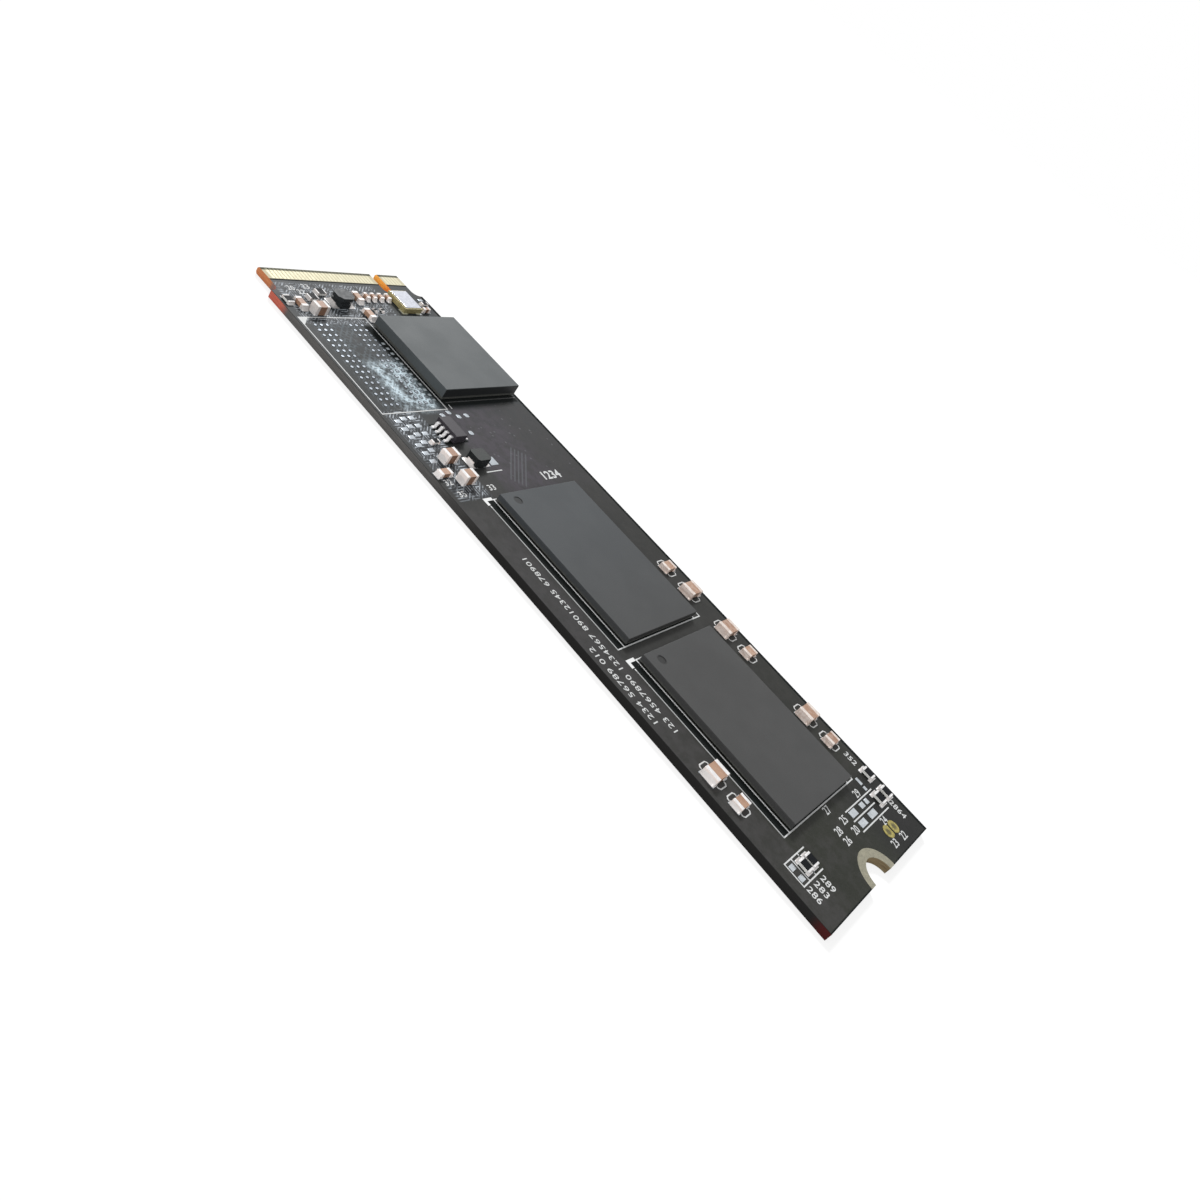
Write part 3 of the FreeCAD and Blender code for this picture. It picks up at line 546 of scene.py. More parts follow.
def add_memory_light(graph, x, y, upper, fan, lines):
    """The memory position: faint fan-out, painted glare and glints on its lines as painted highlights,
    rings round pads, vias.
    """
    upper = graph.mix(graph.times(fan, 0.32), upper, FAN_TONE)
    low, high = (-7.0, controller_low.y - 1.1), (controller_low.x - 1.1, controller_low.y + 6.0)
    # Painted highlight: glare and glints put on the lines as colour
    glare = graph.times(
        graph.patch(x, y, low, high, 0.9),
        graph.ramp(graph.noise(1.3, 2.5, 0.65), 0.33, 0.60),
        graph.ramp(lines, 0.0, 1.0, 0.42, 1.0),
    )
    upper = graph.mix(graph.times(glare, 0.95), upper, PAINTED_GLARE_TONE)
    painted_glints = graph.times(glare, graph.ramp(graph.cells(0.5), 0.14, 0.24, 1.0, 0.0))
    upper = graph.mix(painted_glints, upper, PAINTED_GLINT_TONE)
    upper = graph.mix(ball_clearings(graph, x, y), upper, RING_TONE)
    return graph.mix(graph.times(row_vias(graph, x, y), 0.8), upper, ROW_VIA_TONE)


def field_vias(graph, x, y):
    """Small scattered vias between the controller and the first flash package."""
    vias = graph.ramp(graph.cells(0.95), 0.10, 0.17, 1.0, 0.0)
    return graph.times(vias, graph.patch(x, y, (-2.6, 7.5), (9.6, controller_low.y - 1.2), 0.5))


def finger_ends(graph, y):
    """One at the bevelled ends of the fingers."""
    return graph.slope(y, fingers_high.y - 0.38, fingers_high.y - 0.28)


def bare_laminate(graph, y):
    """Laminate without mask between and below the fingers, darker at the tip as painted shade on the
    bevel.
    """
    weave = graph.noise(0.25, 1.0, 0.5, graph.stretched((1.0, 0.12, 1.0)))
    return graph.mix(finger_ends(graph, y), graph.mix(weave, *LAMINATE), LAMINATE_TIP_SHADE)


def cut_edge(graph, x, y, layers):
    """The cut edge: dark along the board and painted lighter towards the far end, orange on the tongue,
    with reddish stretches.
    """
    edge = graph.mix(layers, *EDGE_FAR_LIT)
    # Painted shade: the edge darkens towards the near end
    edge = graph.mix(graph.slope(y, -1.0, 13.5, 1.0, 0.0), edge, EDGE_NEAR)
    shoulder = graph.slope(y, tip - TONGUE_LENGTH - 0.1, tip - TONGUE_LENGTH + 0.1)
    edge = graph.mix(shoulder, edge, EDGE_SHOULDER)
    edge = graph.mix(graph.slope(y, tip - 3.1, tip - 2.3), edge, graph.mix(layers, *EDGE_TONGUE))
    in_slot = graph.times(shoulder, graph.band(x, KEY_PLACE - KEY_HALF, KEY_PLACE + KEY_HALF, 0.02))
    inner, outer = graph.mix(layers, *SLOT_INNER), graph.mix(layers, *SLOT_OUTER)
    edge = graph.mix(in_slot, edge, graph.mix(graph.slope(y, tip - 3.4, tip - 1.6), inner, outer))
    left = graph.slope(x, -9.0, -8.6, 1.0, 0.0)
    red = graph.times(left, graph.band(y, 33.4, tip - TONGUE_LENGTH + 0.6, 0.7))
    edge = graph.mix(red, edge, graph.mix(layers, *EDGE_RED))
    near_red = graph.times(left, graph.band(y, near_end - 1.0, near_end + 1.2, 0.7))
    edge = graph.mix(graph.times(near_red, 0.8), edge, EDGE_NEAR_RED)
    # The notch wall, darkened as painted shade
    notch = graph.times(
        graph.band(x, -NOTCH_HALF, NOTCH_HALF, 0.05),
        graph.slope(y, near_end + NOTCH_DEPTH, near_end + NOTCH_DEPTH + 0.2, 1.0, 0.0),
    )
    return graph.mix(notch, edge, graph.mix(layers, *NOTCH_WALL_SHADED))


def board_material():
    """Dark solder mask over copper, bare laminate at the tongue and the cut laminate edge."""
    graph = Graph("board")
    x, y = graph.plan()
    slow = graph.noise(9.0, 3.0)
    fine = graph.noise(0.12, 2.0)
    layers = graph.noise(0.09, 2.0, 0.6, graph.stretched((0.06, 0.06, 1.0)))
    copper = copper_areas(graph, x, y)
    bus, fan_tracks, runs = track_masks(graph, x, y)
    fan = broken_fan(graph, x, y, fan_tracks)

    mask = add_crowd(graph, x, y, mask_tone(graph, x, y, slow, fine), runs)
    bare_mask = graph.mix(graph.ramp(fine, 0.3, 0.7, 0.0, 0.3), *BARE_MASK)
    upper = graph.mix(copper, bare_mask, mask)
    upper = graph.mix(graph.times(bus, 0.5), upper, BUS_TONE)
    lines = graph.any_of([runs, graph.times(fan_tracks, 0.8)])
    upper = add_memory_light(graph, x, y, upper, fan, lines)
    upper = graph.mix(graph.times(field_vias(graph, x, y), 0.6), upper, VIA_TONE)
    mask_end = fingers_low.y - MASK_END_GAP
    tongue = graph.slope(y, mask_end - 0.03, mask_end + 0.03)
    upper = graph.mix(tongue, upper, bare_laminate(graph, y))

    facing = graph.math("ABSOLUTE", graph.split(graph.normal)[2])
    side = graph.ramp(facing, 0.2, 0.4, 1.0, 0.0)
    colour = graph.mix(side, upper, cut_edge(graph, x, y, layers))
    smooth = graph.times(copper, graph.outside(side))
    rough = graph.math("SUBTRACT", 0.85, graph.times(smooth, graph.ramp(slow, 0.3, 0.7, 0.42, 0.34)))
    raised = graph.any_of([copper, graph.times(fan, 1.6), graph.times(bus, 1.6)])
    relief = graph.bump(raised, 0.010)
    relief = graph.bump(fine, 0.0035, 1.0, relief)
    relief = graph.bump(graph.times(layers, side), 0.01, 1.0, relief)
    return graph.surface(colour, rough, 0.0, 0.085, relief)


def mold_material(name, colour, roughness, specular, dimples=(), painted_near_shade=1.0):
    """Moulding compound: a fine even grain with small bright and dark flecks, its near-facing sides
    painted darker as shade.
    """
    graph = Graph(name)
    fine = graph.noise(0.05, 2.0, 0.7)
    flecks = graph.cells(0.11)
    slow = graph.noise(5.0, 2.0)
    shown = graph.mix(graph.ramp(fine, 0.3, 0.7), shade(colour, 0.9), shade(colour, 1.1))
    shown = graph.mix(graph.ramp(flecks, 0.05, 0.3, 0.35, 0.0), shown, shade(colour, 1.45))
    shown = graph.mix(graph.ramp(slow, 0.3, 0.7, 0.0, 0.25), shown, shade(colour, 0.86))
    if dimples:
        x, y = graph.plan()
        bluish = (colour[0] * 1.02, colour[1] * 1.13, colour[2] * 1.23)
        shown = graph.mix(graph.slope(y, -20.0, 4.0, 0.0, 0.9), shown, bluish)
        dark = graph.any_of([graph.spot(x, y, centre, DIMPLE_RADIUS, 0.12) for centre in dimples])
        shown = graph.mix(graph.times(dark, 0.75), shown, shade(colour, 0.3))
    # Painted shade: sides facing the near end darkened
    turned = graph.ramp(graph.split(graph.normal)[1], -0.8, -0.4, 1.0, 0.0)
    shown = graph.mix(turned, shown, shade(colour, painted_near_shade))
    rough = graph.ramp(slow, 0.3, 0.7, roughness - 0.05, roughness + 0.05)
    normal = graph.bump(fine, 0.006)
    normal = graph.bump(flecks, 0.003, 0.6, normal)
    return graph.surface(shown, rough, 0.0, specular, normal)


def gold_material():
    """Hard gold with fine wiping marks along the fingers, dark at their bevelled ends as painted shade."""
    graph = Graph("gold_fingers")
    streaks = graph.noise(0.05, 2.0, 0.6, graph.stretched((1.0, 0.05, 1.0)))
    slow = graph.noise(1.6, 2.0)
    shown = graph.mix(graph.ramp(streaks, 0.3, 0.7), (0.76, 0.70, 0.47), (0.84, 0.80, 0.60))
    shown = graph.mix(graph.ramp(slow, 0.35, 0.7, 0.0, 0.4), shown, (0.80, 0.77, 0.55))
    # Painted shade on the bevelled ends
    shown = graph.mix(finger_ends(graph, graph.plan()[1]), shown, (0.12, 0.12, 0.08))
    rough = graph.ramp(streaks, 0.3, 0.7, 0.11, 0.15)
    return graph.surface(shown, rough, 1.0, 0.5, graph.bump(streaks, 0.0006))


def edge_capacitors(graph, x, y):
    """One over the capacitors along the right edge beside the flash packages."""
    return graph.patch(x, y, (7.5, near_end + 8.5), (half_width, controller_low.y), 0.2)


def tint_ends(graph, shown, painted_side_light):
    """Paint light on the upright sides of chip parts' ends, and tone the right edge and the far left
    corner.
    """
    upright = graph.ramp(graph.split(graph.normal)[2], 0.7, 0.95, 1.0, 0.0)
    x, y = graph.plan()
    beyond = graph.slope(y, near_end + 7.5, near_end + 8.0)
    low, high = (leads_low.x - 0.1, leads_low.y - 0.1), (leads_high.x + 0.1, leads_high.y + 0.1)
    tinted = graph.times(beyond, graph.outside(graph.patch(x, y, low, high, 0.05)))
    right = edge_capacitors(graph, x, y)
    blotch = graph.ramp(graph.noise(0.4, 2.0), 0.40, 0.62)
    # Painted light: the ends' upright sides made lighter, blotched along the right edge
    tint = graph.mix(right, painted_side_light, graph.mix(blotch, *RIGHT_END_SIDES_LIT))
    shown = graph.mix(graph.times(upright, tinted), shown, tint)
    far_left = graph.patch(x, y, (-11.0, controller_high.y + 0.5), (-3.0, tip), 1.0)
    shown = graph.mix(graph.times(far_left, 0.5), shown, FAR_LEFT_ENDS)
    above = graph.times(right, graph.outside(upright))
    return graph.mix(above, shown, graph.mix(blotch, *RIGHT_END_TOPS))


def metal_material(name, colour, roughness, grain, bump, metallic, painted_side_light=None):
    """Cast or plated metal with small crystals, its upright sides painted with light where a tint is
    given.
    """
    graph = Graph(name)
    crystals = graph.cells(grain)
    slow = graph.noise(grain * 6.0, 3.0)
    shown = graph.mix(graph.ramp(crystals, 0.1, 0.8), shade(colour, 1.06), shade(colour, 0.88))
    shown = graph.mix(graph.ramp(slow, 0.35, 0.7, 0.0, 0.35), shown, shade(colour, 0.8))
    if painted_side_light is not None:
        shown = tint_ends(graph, shown, painted_side_light)
    rough = graph.ramp(slow, 0.3, 0.7, roughness * 0.8, roughness * 1.2)
    normal = graph.bump(crystals, bump, 0.8)
    normal = graph.bump(slow, bump * 4.0, 0.6, normal)
    return graph.surface(shown, rough, metallic, 0.4, normal)


def pad_material():
    """Tinned copper, brighter at the screw end, with duller crystals and patches."""
    graph = Graph("copper_pad")
    crystals = graph.cells(0.2)
    slow = graph.noise(0.7, 3.0)
    dull = (0.36, 0.39, 0.42)
    near = graph.slope(graph.plan()[1], near_end + 8.0, near_end + 12.0, 1.0, 0.0)
    shown = graph.mix(near, (0.50, 0.54, 0.58), (0.64, 0.68, 0.71))
    shown = graph.mix(graph.ramp(crystals, 0.1, 0.8, 0.0, 0.4), shown, dull)
    shown = graph.mix(graph.ramp(slow, 0.35, 0.65, 0.0, 0.45), shown, dull)
    rough = graph.ramp(slow, 0.3, 0.7, 0.18, 0.28)
    return graph.surface(shown, rough, 0.8, 0.4, graph.bump(slow, 0.006))


def jumper_material():
    """Dull gold, darker in the middle of each half."""
    graph = Graph("jumper_pad")
    x, y = graph.plan()
    fine = graph.noise(0.16, 3.0, 0.7)
    shown = graph.mix(graph.ramp(fine, 0.35, 0.65), (0.26, 0.21, 0.04), (0.48, 0.42, 0.12))
    centres = [((low.x + high.x) / 2, (low.y + high.y) / 2) for low, high in solids_of("jumper_pads")]
    darker_middles = graph.any_of([graph.spot(x, y, centre, 0.3, 0.14) for centre in centres])
    shown = graph.mix(graph.times(darker_middles, 0.8), shown, (0.035, 0.030, 0.010))
    return graph.surface(shown, 0.4, 0.3, 0.4, graph.bump(fine, 0.006))


def ferrite_material():
    """Fine ferrite, its sides painted darker as shade, and darker on the inductor beside the regulator."""
    graph = Graph("ferrite")
    fine = graph.noise(0.06, 2.0)
    slow = graph.noise(0.5, 3.0)
    shown = graph.mix(graph.ramp(fine, 0.3, 0.7), (0.026, 0.029, 0.032), (0.044, 0.049, 0.054))
    dark = graph.mix(graph.ramp(slow, 0.4, 0.65), (0.004, 0.006, 0.006), (0.020, 0.026, 0.024))
    shown = graph.mix(graph.slope(graph.plan()[1], 20.0, 22.0, 1.0, 0.0), shown, dark)
    # Painted shade: the upright sides darkened
    upright = graph.ramp(graph.split(graph.normal)[2], 0.3, 0.8, 0.75, 0.0)
    shown = graph.mix(upright, shown, (0.006, 0.008, 0.009))
    rough = graph.ramp(slow, 0.3, 0.7, 0.48, 0.62)
    return graph.surface(shown, rough, 0.0, 0.3, graph.bump(fine, 0.008))


def capacitor_material():
    """Fired ceramic, tan, each part a little different, with darker specks and a near side painted darker
    as shade.
    """
    graph = Graph("capacitor_ceramic")
    x, y = graph.plan()
    each = graph.noise(3.2, 0.0)
    fine = graph.noise(0.09, 3.0, 0.7)
    shown = graph.mix(graph.ramp(each, 0.35, 0.65), (0.36, 0.20, 0.13), (0.50, 0.31, 0.21))
    shown = graph.mix(graph.ramp(fine, 0.3, 0.75, 0.0, 0.4), shown, (0.24, 0.13, 0.085))
    # Painted shade: the side facing the near end darkened
    turned = graph.ramp(graph.split(graph.normal)[1], -0.8, -0.3, 0.65, 0.0)
    shown = graph.mix(turned, shown, (0.16, 0.085, 0.05))
    blotch = graph.ramp(graph.noise(0.4, 2.0), 0.40, 0.62, 0.0, 0.35)
    shown = graph.mix(graph.times(blotch, edge_capacitors(graph, x, y)), shown, (0.62, 0.48, 0.40))
    rough = graph.ramp(fine, 0.3, 0.7, 0.42, 0.6)
    return graph.surface(shown, rough, 0.0, 0.4, graph.bump(fine, 0.006))


def ink_material():
    """Printed ink, thin in places; outer lines painted grey and inner lines white against the packages'
    shadow, and dark below the controller as painted shade.
    """
    graph = Graph("white_ink")
    x, y = graph.plan()
    white = (0.92, 0.93, 0.93)
    fine = graph.noise(0.07, 3.0, 0.7)
    slow = graph.noise(0.8, 2.0)
    shown = graph.mix(graph.ramp(fine, 0.25, 0.6), (0.52, 0.54, 0.54), (0.74, 0.75, 0.75))
    shown = graph.mix(graph.ramp(slow, 0.4, 0.7, 0.0, 0.3), shown, (0.56, 0.57, 0.56))
    # Painted shade: the ink line along the controller's near side darkened
    below = graph.patch(
        x, y, (controller_low.x + 0.4, controller_low.y - 0.5), (half_width, controller_low.y - 0.1), 0.1
    )
    shown = graph.mix(graph.times(below, 0.93), shown, (0.020, 0.020, 0.022))
    # Painted light: inner lines in the packages' shadow painted white, the lit outer lines painted grey
    for low, high in flash_boxes:
        outer = graph.patch(x, y, (low.x - 1.3, low.y - 0.3), (low.x - 1.1, high.y - 0.8), 0.02)
        inner = graph.patch(x, y, (low.x - 0.25, low.y - 0.3), (low.x, high.y + 0.3), 0.02)
        mark = graph.patch(x, y, (low.x - 1.7, high.y - 0.75), (low.x - 0.1, high.y + 0.7), 0.02)
        shown = graph.mix(graph.times(outer, 0.75), shown, (0.34, 0.35, 0.35))
        shown = graph.mix(inner, shown, white)
        shown = graph.mix(graph.times(mark, 0.8), shown, white)
    return graph.surface(shown, 0.6, 0.0, 0.3, graph.bump(fine, 0.004))


def make_materials():
    """One material for each slot of the record."""
    dimples = [(low.x + DIMPLE_INSET[0], high.y - DIMPLE_INSET[1]) for low, high in flash_boxes]
    made = {
        "board": board_material(),
        "gold_fingers": gold_material(),
        "mold": mold_material("mold", (0.055, 0.0555, 0.0555), 0.54, 0.20, dimples, 0.55),
        "controller_mold": mold_material("controller_mold", (0.082, 0.092, 0.096), 0.52, 0.20, (), 0.16),
        "regulator_mold": mold_material("regulator_mold", (0.040, 0.036, 0.043), 0.5, 0.25),
        "copper_pad": pad_material(),
        "jumper_pad": jumper_material(),
        "ferrite": ferrite_material(),
        "capacitor_ceramic": capacitor_material(),
        "white_ink": ink_material(),
    }
    made.update({name: grained(name, *row) for name, row in GRAINED.items()})
    made.update({name: metal_material(name, *row) for name, row in METALS.items()})
    return made


def dress_nodes(materials):
    """Give each CAD node the material of its slot in the record."""
    slots = {row["node"]: row["material_slot"] for row in frame["record"]["subparts"]}
    for name, piece in frame["nodes"].items():
        piece.data.materials.clear()
        piece.data.materials.append(materials[slots[name]])


def solids_of(node):
    """The lowest and highest corner of each separate solid of a CAD node, in millimetres."""
    mesh = frame["nodes"][node].data
    keys = [tuple(round(part / MM, 4) for part in vertex.co) for vertex in mesh.vertices]
    leader = {key: key for key in keys}

    def lead(key):
        """The corner that stands for all the corners joined to this one."""
        while leader[key] != key:
            leader[key] = leader[leader[key]]
            key = leader[key]
        return key

    for polygon in mesh.polygons:
        first = lead(keys[polygon.vertices[0]])
        for corner in polygon.vertices:
            leader[lead(keys[corner])] = first
    found = {}
    for key in leader:
        low, high = found.setdefault(lead(key), (Vector(key), Vector(key)))
        for axis in range(3):
            low[axis] = min(low[axis], key[axis])
            high[axis] = max(high[axis], key[axis])
    return list(found.values())


def finish_piece(name, builder, material, smooth_angle):
    """Turn built geometry into a piece that rides on the board."""
    mesh = bpy.data.meshes.new(name)
    bmesh.ops.recalc_face_normals(builder, faces=builder.faces)
    builder.to_mesh(mesh)
    builder.free()
    mesh.transform(Matrix.Scale(MM, 4))
    for polygon in mesh.polygons:
        polygon.use_smooth = True
    mesh.set_sharp_from_angle(angle=math.radians(smooth_angle))
    mesh.materials.append(material)
    piece = bpy.data.objects.new(name, mesh)
    bpy.context.scene.collection.objects.link(piece)
    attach(piece, "root")


def divided(points, steps):
    """Points along a path of straight stretches, several on each."""
    found = []
    for start, end in zip(points, points[1:]):
        for step in range(steps):
            found.append(start.lerp(end, step / steps))
    return found + [points[-1]]


def softened(points, rounds):
    """The same path with its corners drawn in, its ends kept."""
    for _ in range(rounds):
        middle = [
            points[i - 1] * 0.25 + points[i] * 0.5 + points[i + 1] * 0.25
            for i in range(1, len(points) - 1)
        ]
        points = [points[0]] + middle + [points[-1]]
    return points


def join_rings(builder, rings):
    """Faces between each ring of points and the next."""
    for first, second in zip(rings, rings[1:]):
        for i in range(len(first)):
            j = (i + 1) % len(first)
            builder.faces.new((first[i], first[j], second[j], second[i]))


def add_skirt(builder, wall, rim, base, heights):
    """A concave fillet between a path along a wall and a path round a pad."""
    rings = []
    for inner, outer, height in zip(wall, rim, heights):
        ring = []
        for share in SOLDER_PROFILE:
            spot = inner.lerp(outer, share)
            rise = SOLDER_FILM + height * (1.0 - share) ** SOLDER_HOLLOW
            ring.append(builder.verts.new((spot.x, spot.y, base + rise)))
        ring.append(builder.verts.new((outer.x, outer.y, base)))
        ring.append(builder.verts.new((inner.x, inner.y, base)))
        rings.append(ring)
    join_rings(builder, rings)
    builder.faces.new(rings[0])
    builder.faces.new(rings[-1][::-1])


def pad_below(solid, pads):
    """The pad that a terminal stands on."""
    low, high = solid

    def shared(pad):
        """The area that the terminal and a pad have in common."""
        across = min(high.x, pad[1].x) - max(low.x, pad[0].x)
        along = min(high.y, pad[1].y) - max(low.y, pad[0].y)
        return max(0.0, across) * max(0.0, along)

    return max(pads, key=shared)


def add_chip_solder(builder, terminal, pad):
    """Solder round the three open sides of a terminal, out to the edges of its pad."""
    low, high = terminal
    centre = (low + high) / 2
    shift = (pad[0] + pad[1]) / 2 - centre
    axis = 0 if abs(shift.x) > abs(shift.y) else 1
    cross = 1 - axis
    way = 1.0 if shift[axis] > 0 else -1.0
    out = Vector((way, 0.0)) if axis == 0 else Vector((0.0, way))
    side = Vector((-out.y, out.x))
    half_long = (high[axis] - low[axis]) / 2
    half_wide = (high[cross] - low[cross]) / 2
    pad_edge = pad[1][axis] - centre[axis] if way > 0 else centre[axis] - pad[0][axis]
    pad_out = max(abs(pad_edge), half_long + SOLDER_LEAST_OUT) - SOLDER_RIM_GAP
    pad_wide = max((pad[1][cross] - pad[0][cross]) / 2, half_wide + SOLDER_LEAST_WIDE) - SOLDER_RIM_GAP
    middle = Vector((centre.x, centre.y))
    inner_end = -half_long * 0.9

    def path(reach, width):
        """Out along one side of the terminal, across its end and back."""
        corners = [(inner_end, -width), (reach, -width), (reach, width), (inner_end, width)]
        return [middle + out * a + side * b for a, b in corners]

    wall = divided(path(half_long - SOLDER_OVERLAP, half_wide - SOLDER_OVERLAP), SOLDER_STEPS)
    rim = softened(divided(path(pad_out, pad_wide), SOLDER_STEPS), 2)
    tall = high.z - pad_top
    half_count = (len(wall) - 1) / 2
    heights = []
    for i in range(len(wall)):
        share = abs(i - half_count) / half_count
        heights.append(tall * SOLDER_RISE * (1.0 - SOLDER_END_DROP * share))
    add_skirt(builder, wall, rim, pad_top, heights)


def make_chip_solder(material):
    """The solder joints of every chip part and of the inductors."""
    builder = bmesh.new()
    pads = solids_of("component_pads")
    for kind in CHIP_KINDS:
        for terminal in solids_of(f"{kind}_terminals"):
            add_chip_solder(builder, terminal, pad_below(terminal, pads))
    finish_piece("chip_solder", builder, material, 50.0)


def add_dome(builder, low, high, base):
    """A low dome of tin over a rectangle with rounded corners."""
    centre = Vector(((low.x + high.x) / 2, (low.y + high.y) / 2))
    half = Vector(((high.x - low.x) / 2, (high.y - low.y) / 2))
    corner = min(TIN_CORNER, half.x * 0.9, half.y * 0.9)
    outline = []
    for sx, sy, start in ((1, -1, -90), (1, 1, 0), (-1, 1, 90), (-1, -1, 180)):
        for step in range(4):
            angle = math.radians(start + step * 30)
            outline.append(
                Vector((
                    sx * (half.x - corner) + corner * math.cos(angle),
                    sy * (half.y - corner) + corner * math.sin(angle),
                ))
            )
    rings = []
    for share, rise in TIN_PROFILE:
        ring = [centre + spot * share for spot in outline]
        rings.append([builder.verts.new((spot.x, spot.y, base + TIN_HEIGHT * rise)) for spot in ring])
    join_rings(builder, rings)
    builder.faces.new(rings[-1])
    builder.faces.new(rings[0][::-1])


def make_pad_tinning(material):
    """A thin dome of tin on each bare pad."""
    builder = bmesh.new()
    inset = Vector((TIN_INSET, TIN_INSET, 0.0))
    for low, high in solids_of("bare_pads"):
        add_dome(builder, low + inset, high - inset, pad_top)
    finish_piece("pad_tinning", builder, material, 60.0)


def number_mesh(text, height, boldness, length=None):
    """A flat-topped printed number as a mesh, centred, of the given height and length."""
    curve = bpy.data.curves.new("number", "FONT")
    curve.body = text
    curve.size = height / DIGIT_SHARE
    curve.extrude = (ink_top - top) / 2
    curve.resolution_u = DIGIT_STEPS
    curve.space_character = DIGIT_SPACING
    curve.offset = height * boldness
    holder = bpy.data.objects.new("number", curve)
    mesh = bpy.data.meshes.new_from_object(holder)
    bpy.data.objects.remove(holder)
    bpy.data.curves.remove(curve)
    low = Vector([min(vertex.co[axis] for vertex in mesh.vertices) for axis in range(3)])
    high = Vector([max(vertex.co[axis] for vertex in mesh.vertices) for axis in range(3)])
    mesh.transform(Matrix.Translation(-(low + high) / 2))
    if length is not None:
        mesh.transform(Matrix.Scale(length / (high.x - low.x), 4, Vector((1, 0, 0))))
    return mesh


def add_number(builder, text, place, height, turn, boldness, length=None):
    """Print a number with its middle at a place, turned so many degrees."""
    mesh = number_mesh(text, height, boldness, length)
    lift = Matrix.Translation((place[0], place[1], (top + ink_top) / 2))
    mesh.transform(lift @ Matrix.Rotation(math.radians(turn), 4, "Z"))
    builder.from_mesh(mesh)
    bpy.data.meshes.remove(mesh)


def make_numbers(material):
    """All printed numbers: beside the parts, a larger one and two rows of running digits."""
    builder = bmesh.new()
    for text, place, turn in PART_NUMBERS:
        length = PART_NUMBER_PITCH * len(text)
        add_number(builder, text, place, PART_NUMBER_HEIGHT, turn, PART_NUMBER_BOLDNESS, length)
    add_number(builder, *LARGE_NUMBER, LARGE_NUMBER_HEIGHT, 0, LARGE_NUMBER_BOLDNESS)
    for text, x, start, end in NUMBER_ROWS:
        add_number(builder, text, (x, (start + end) / 2), NUMBER_ROW_HEIGHT, 90, 0.0, end - start)
    finish_piece("printed_numbers", builder, material, 30.0)


def make_camera():
    """The camera that shows the whole card from above its left side."""
    data = bpy.data.cameras.new("camera")
    data.lens = CAMERA_LENS
    data.sensor_width = CAMERA_SENSOR
    data.shift_x, data.shift_y = CAMERA_SHIFT
    data.clip_start = CAMERA_NEAR
    data.clip_end = CAMERA_FAR
    camera = bpy.data.objects.new("camera", data)
    camera.location = Vector(CAMERA_PLACE) * MM
    camera.rotation_euler = [math.radians(angle) for angle in CAMERA_TURN]
    bpy.context.scene.collection.objects.link(camera)
    bpy.context.scene.camera = camera


def make_lamps():
    """An even lamp from beyond the right far corner, and a weaker low one from the left."""
    for name, place, angle, strength in LAMPS:
        data = bpy.data.lights.new(name, "SUN")
        data.angle = math.radians(angle)
        data.energy = strength
        lamp = bpy.data.objects.new(name, data)
        lamp.rotation_euler = place.to_track_quat("Z", "Y").to_euler()
        bpy.context.scene.collection.objects.link(lamp)


def seen_directly(tree):
    """One for rays that come from the camera, a reflection or through glass, else nought."""
    path = tree.nodes.new("ShaderNodeLightPath")
    total = path.outputs["Is Camera Ray"]
    for name in ("Is Glossy Ray", "Is Transmission Ray"):
        node = tree.nodes.new("ShaderNodeMath")
        node.operation = "MAXIMUM"
        tree.links.new(total, node.inputs[0])
        tree.links.new(path.outputs[name], node.inputs[1])
        total = node.outputs[0]
    return total


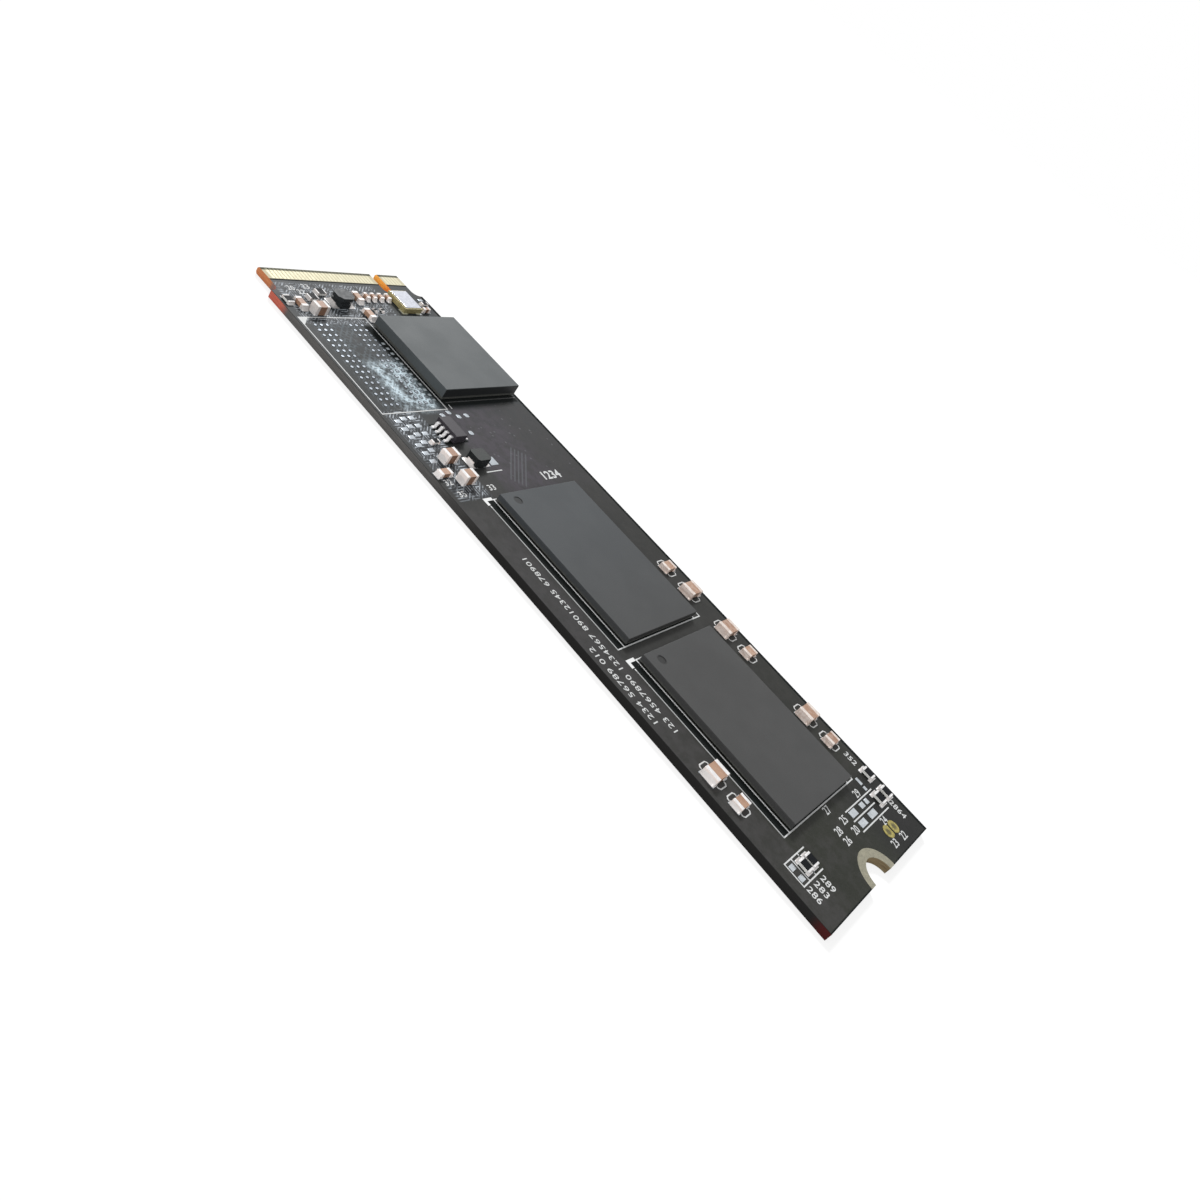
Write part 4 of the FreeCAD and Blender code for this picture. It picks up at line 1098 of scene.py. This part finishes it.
def make_world():
    """White where it is seen, and a plain grey fill for everything else."""
    world = bpy.data.worlds.new("world")
    bpy.context.scene.world = world
    world.use_nodes = True
    tree = world.node_tree
    tree.nodes.clear()
    output = tree.nodes.new("ShaderNodeOutputWorld")
    mixer = tree.nodes.new("ShaderNodeMixShader")
    for index, strength in ((1, WORLD_FILL), (2, WORLD_SEEN)):
        background = tree.nodes.new("ShaderNodeBackground")
        background.inputs["Color"].default_value = (1.0, 1.0, 1.0, 1.0)
        background.inputs["Strength"].default_value = strength
        tree.links.new(background.outputs[0], mixer.inputs[index])
    tree.links.new(seen_directly(tree), mixer.inputs["Fac"])
    tree.links.new(mixer.outputs[0], output.inputs["Surface"])


def floor_material():
    """Pale for the object's light, and white with the card's shadow where it is seen."""
    material = bpy.data.materials.new("floor")
    material.use_nodes = True
    tree = material.node_tree
    tree.nodes.clear()
    output = tree.nodes.new("ShaderNodeOutputMaterial")
    pale, shown = (tree.nodes.new("ShaderNodeBsdfDiffuse") for _ in range(2))
    for node, tone in ((pale, FLOOR_TONE), (shown, FLOOR_SEEN_TONE)):
        node.inputs["Color"].default_value = (tone, tone, tone, 1.0)
    glow = tree.nodes.new("ShaderNodeEmission")
    glow.inputs["Strength"].default_value = FLOOR_SEEN_GLOW
    both = tree.nodes.new("ShaderNodeAddShader")
    tree.links.new(shown.outputs[0], both.inputs[0])
    tree.links.new(glow.outputs[0], both.inputs[1])
    mixer = tree.nodes.new("ShaderNodeMixShader")
    tree.links.new(seen_directly(tree), mixer.inputs["Fac"])
    tree.links.new(pale.outputs[0], mixer.inputs[1])
    tree.links.new(both.outputs[0], mixer.inputs[2])
    tree.links.new(mixer.outputs[0], output.inputs["Surface"])
    return material


def make_floor():
    """A plain pale floor that keeps the card's shadow."""
    builder = bmesh.new()
    bmesh.ops.create_grid(builder, x_segments=1, y_segments=1, size=FLOOR_SIZE / 2 * MM)
    mesh = bpy.data.meshes.new("floor")
    builder.to_mesh(mesh)
    builder.free()
    mesh.materials.append(floor_material())
    floor = bpy.data.objects.new("floor", mesh)
    floor.location.z = board_low.z * MM - FLOOR_DROP * MM
    bpy.context.scene.collection.objects.link(floor)


bpy.context.scene.view_settings.view_transform = "Standard"
make_camera()
make_lamps()
make_world()
make_floor()
materials = make_materials()
dress_nodes(materials)
make_chip_solder(materials["solder"])
make_pad_tinning(materials["copper_pad"])
make_numbers(materials["white_ink"])
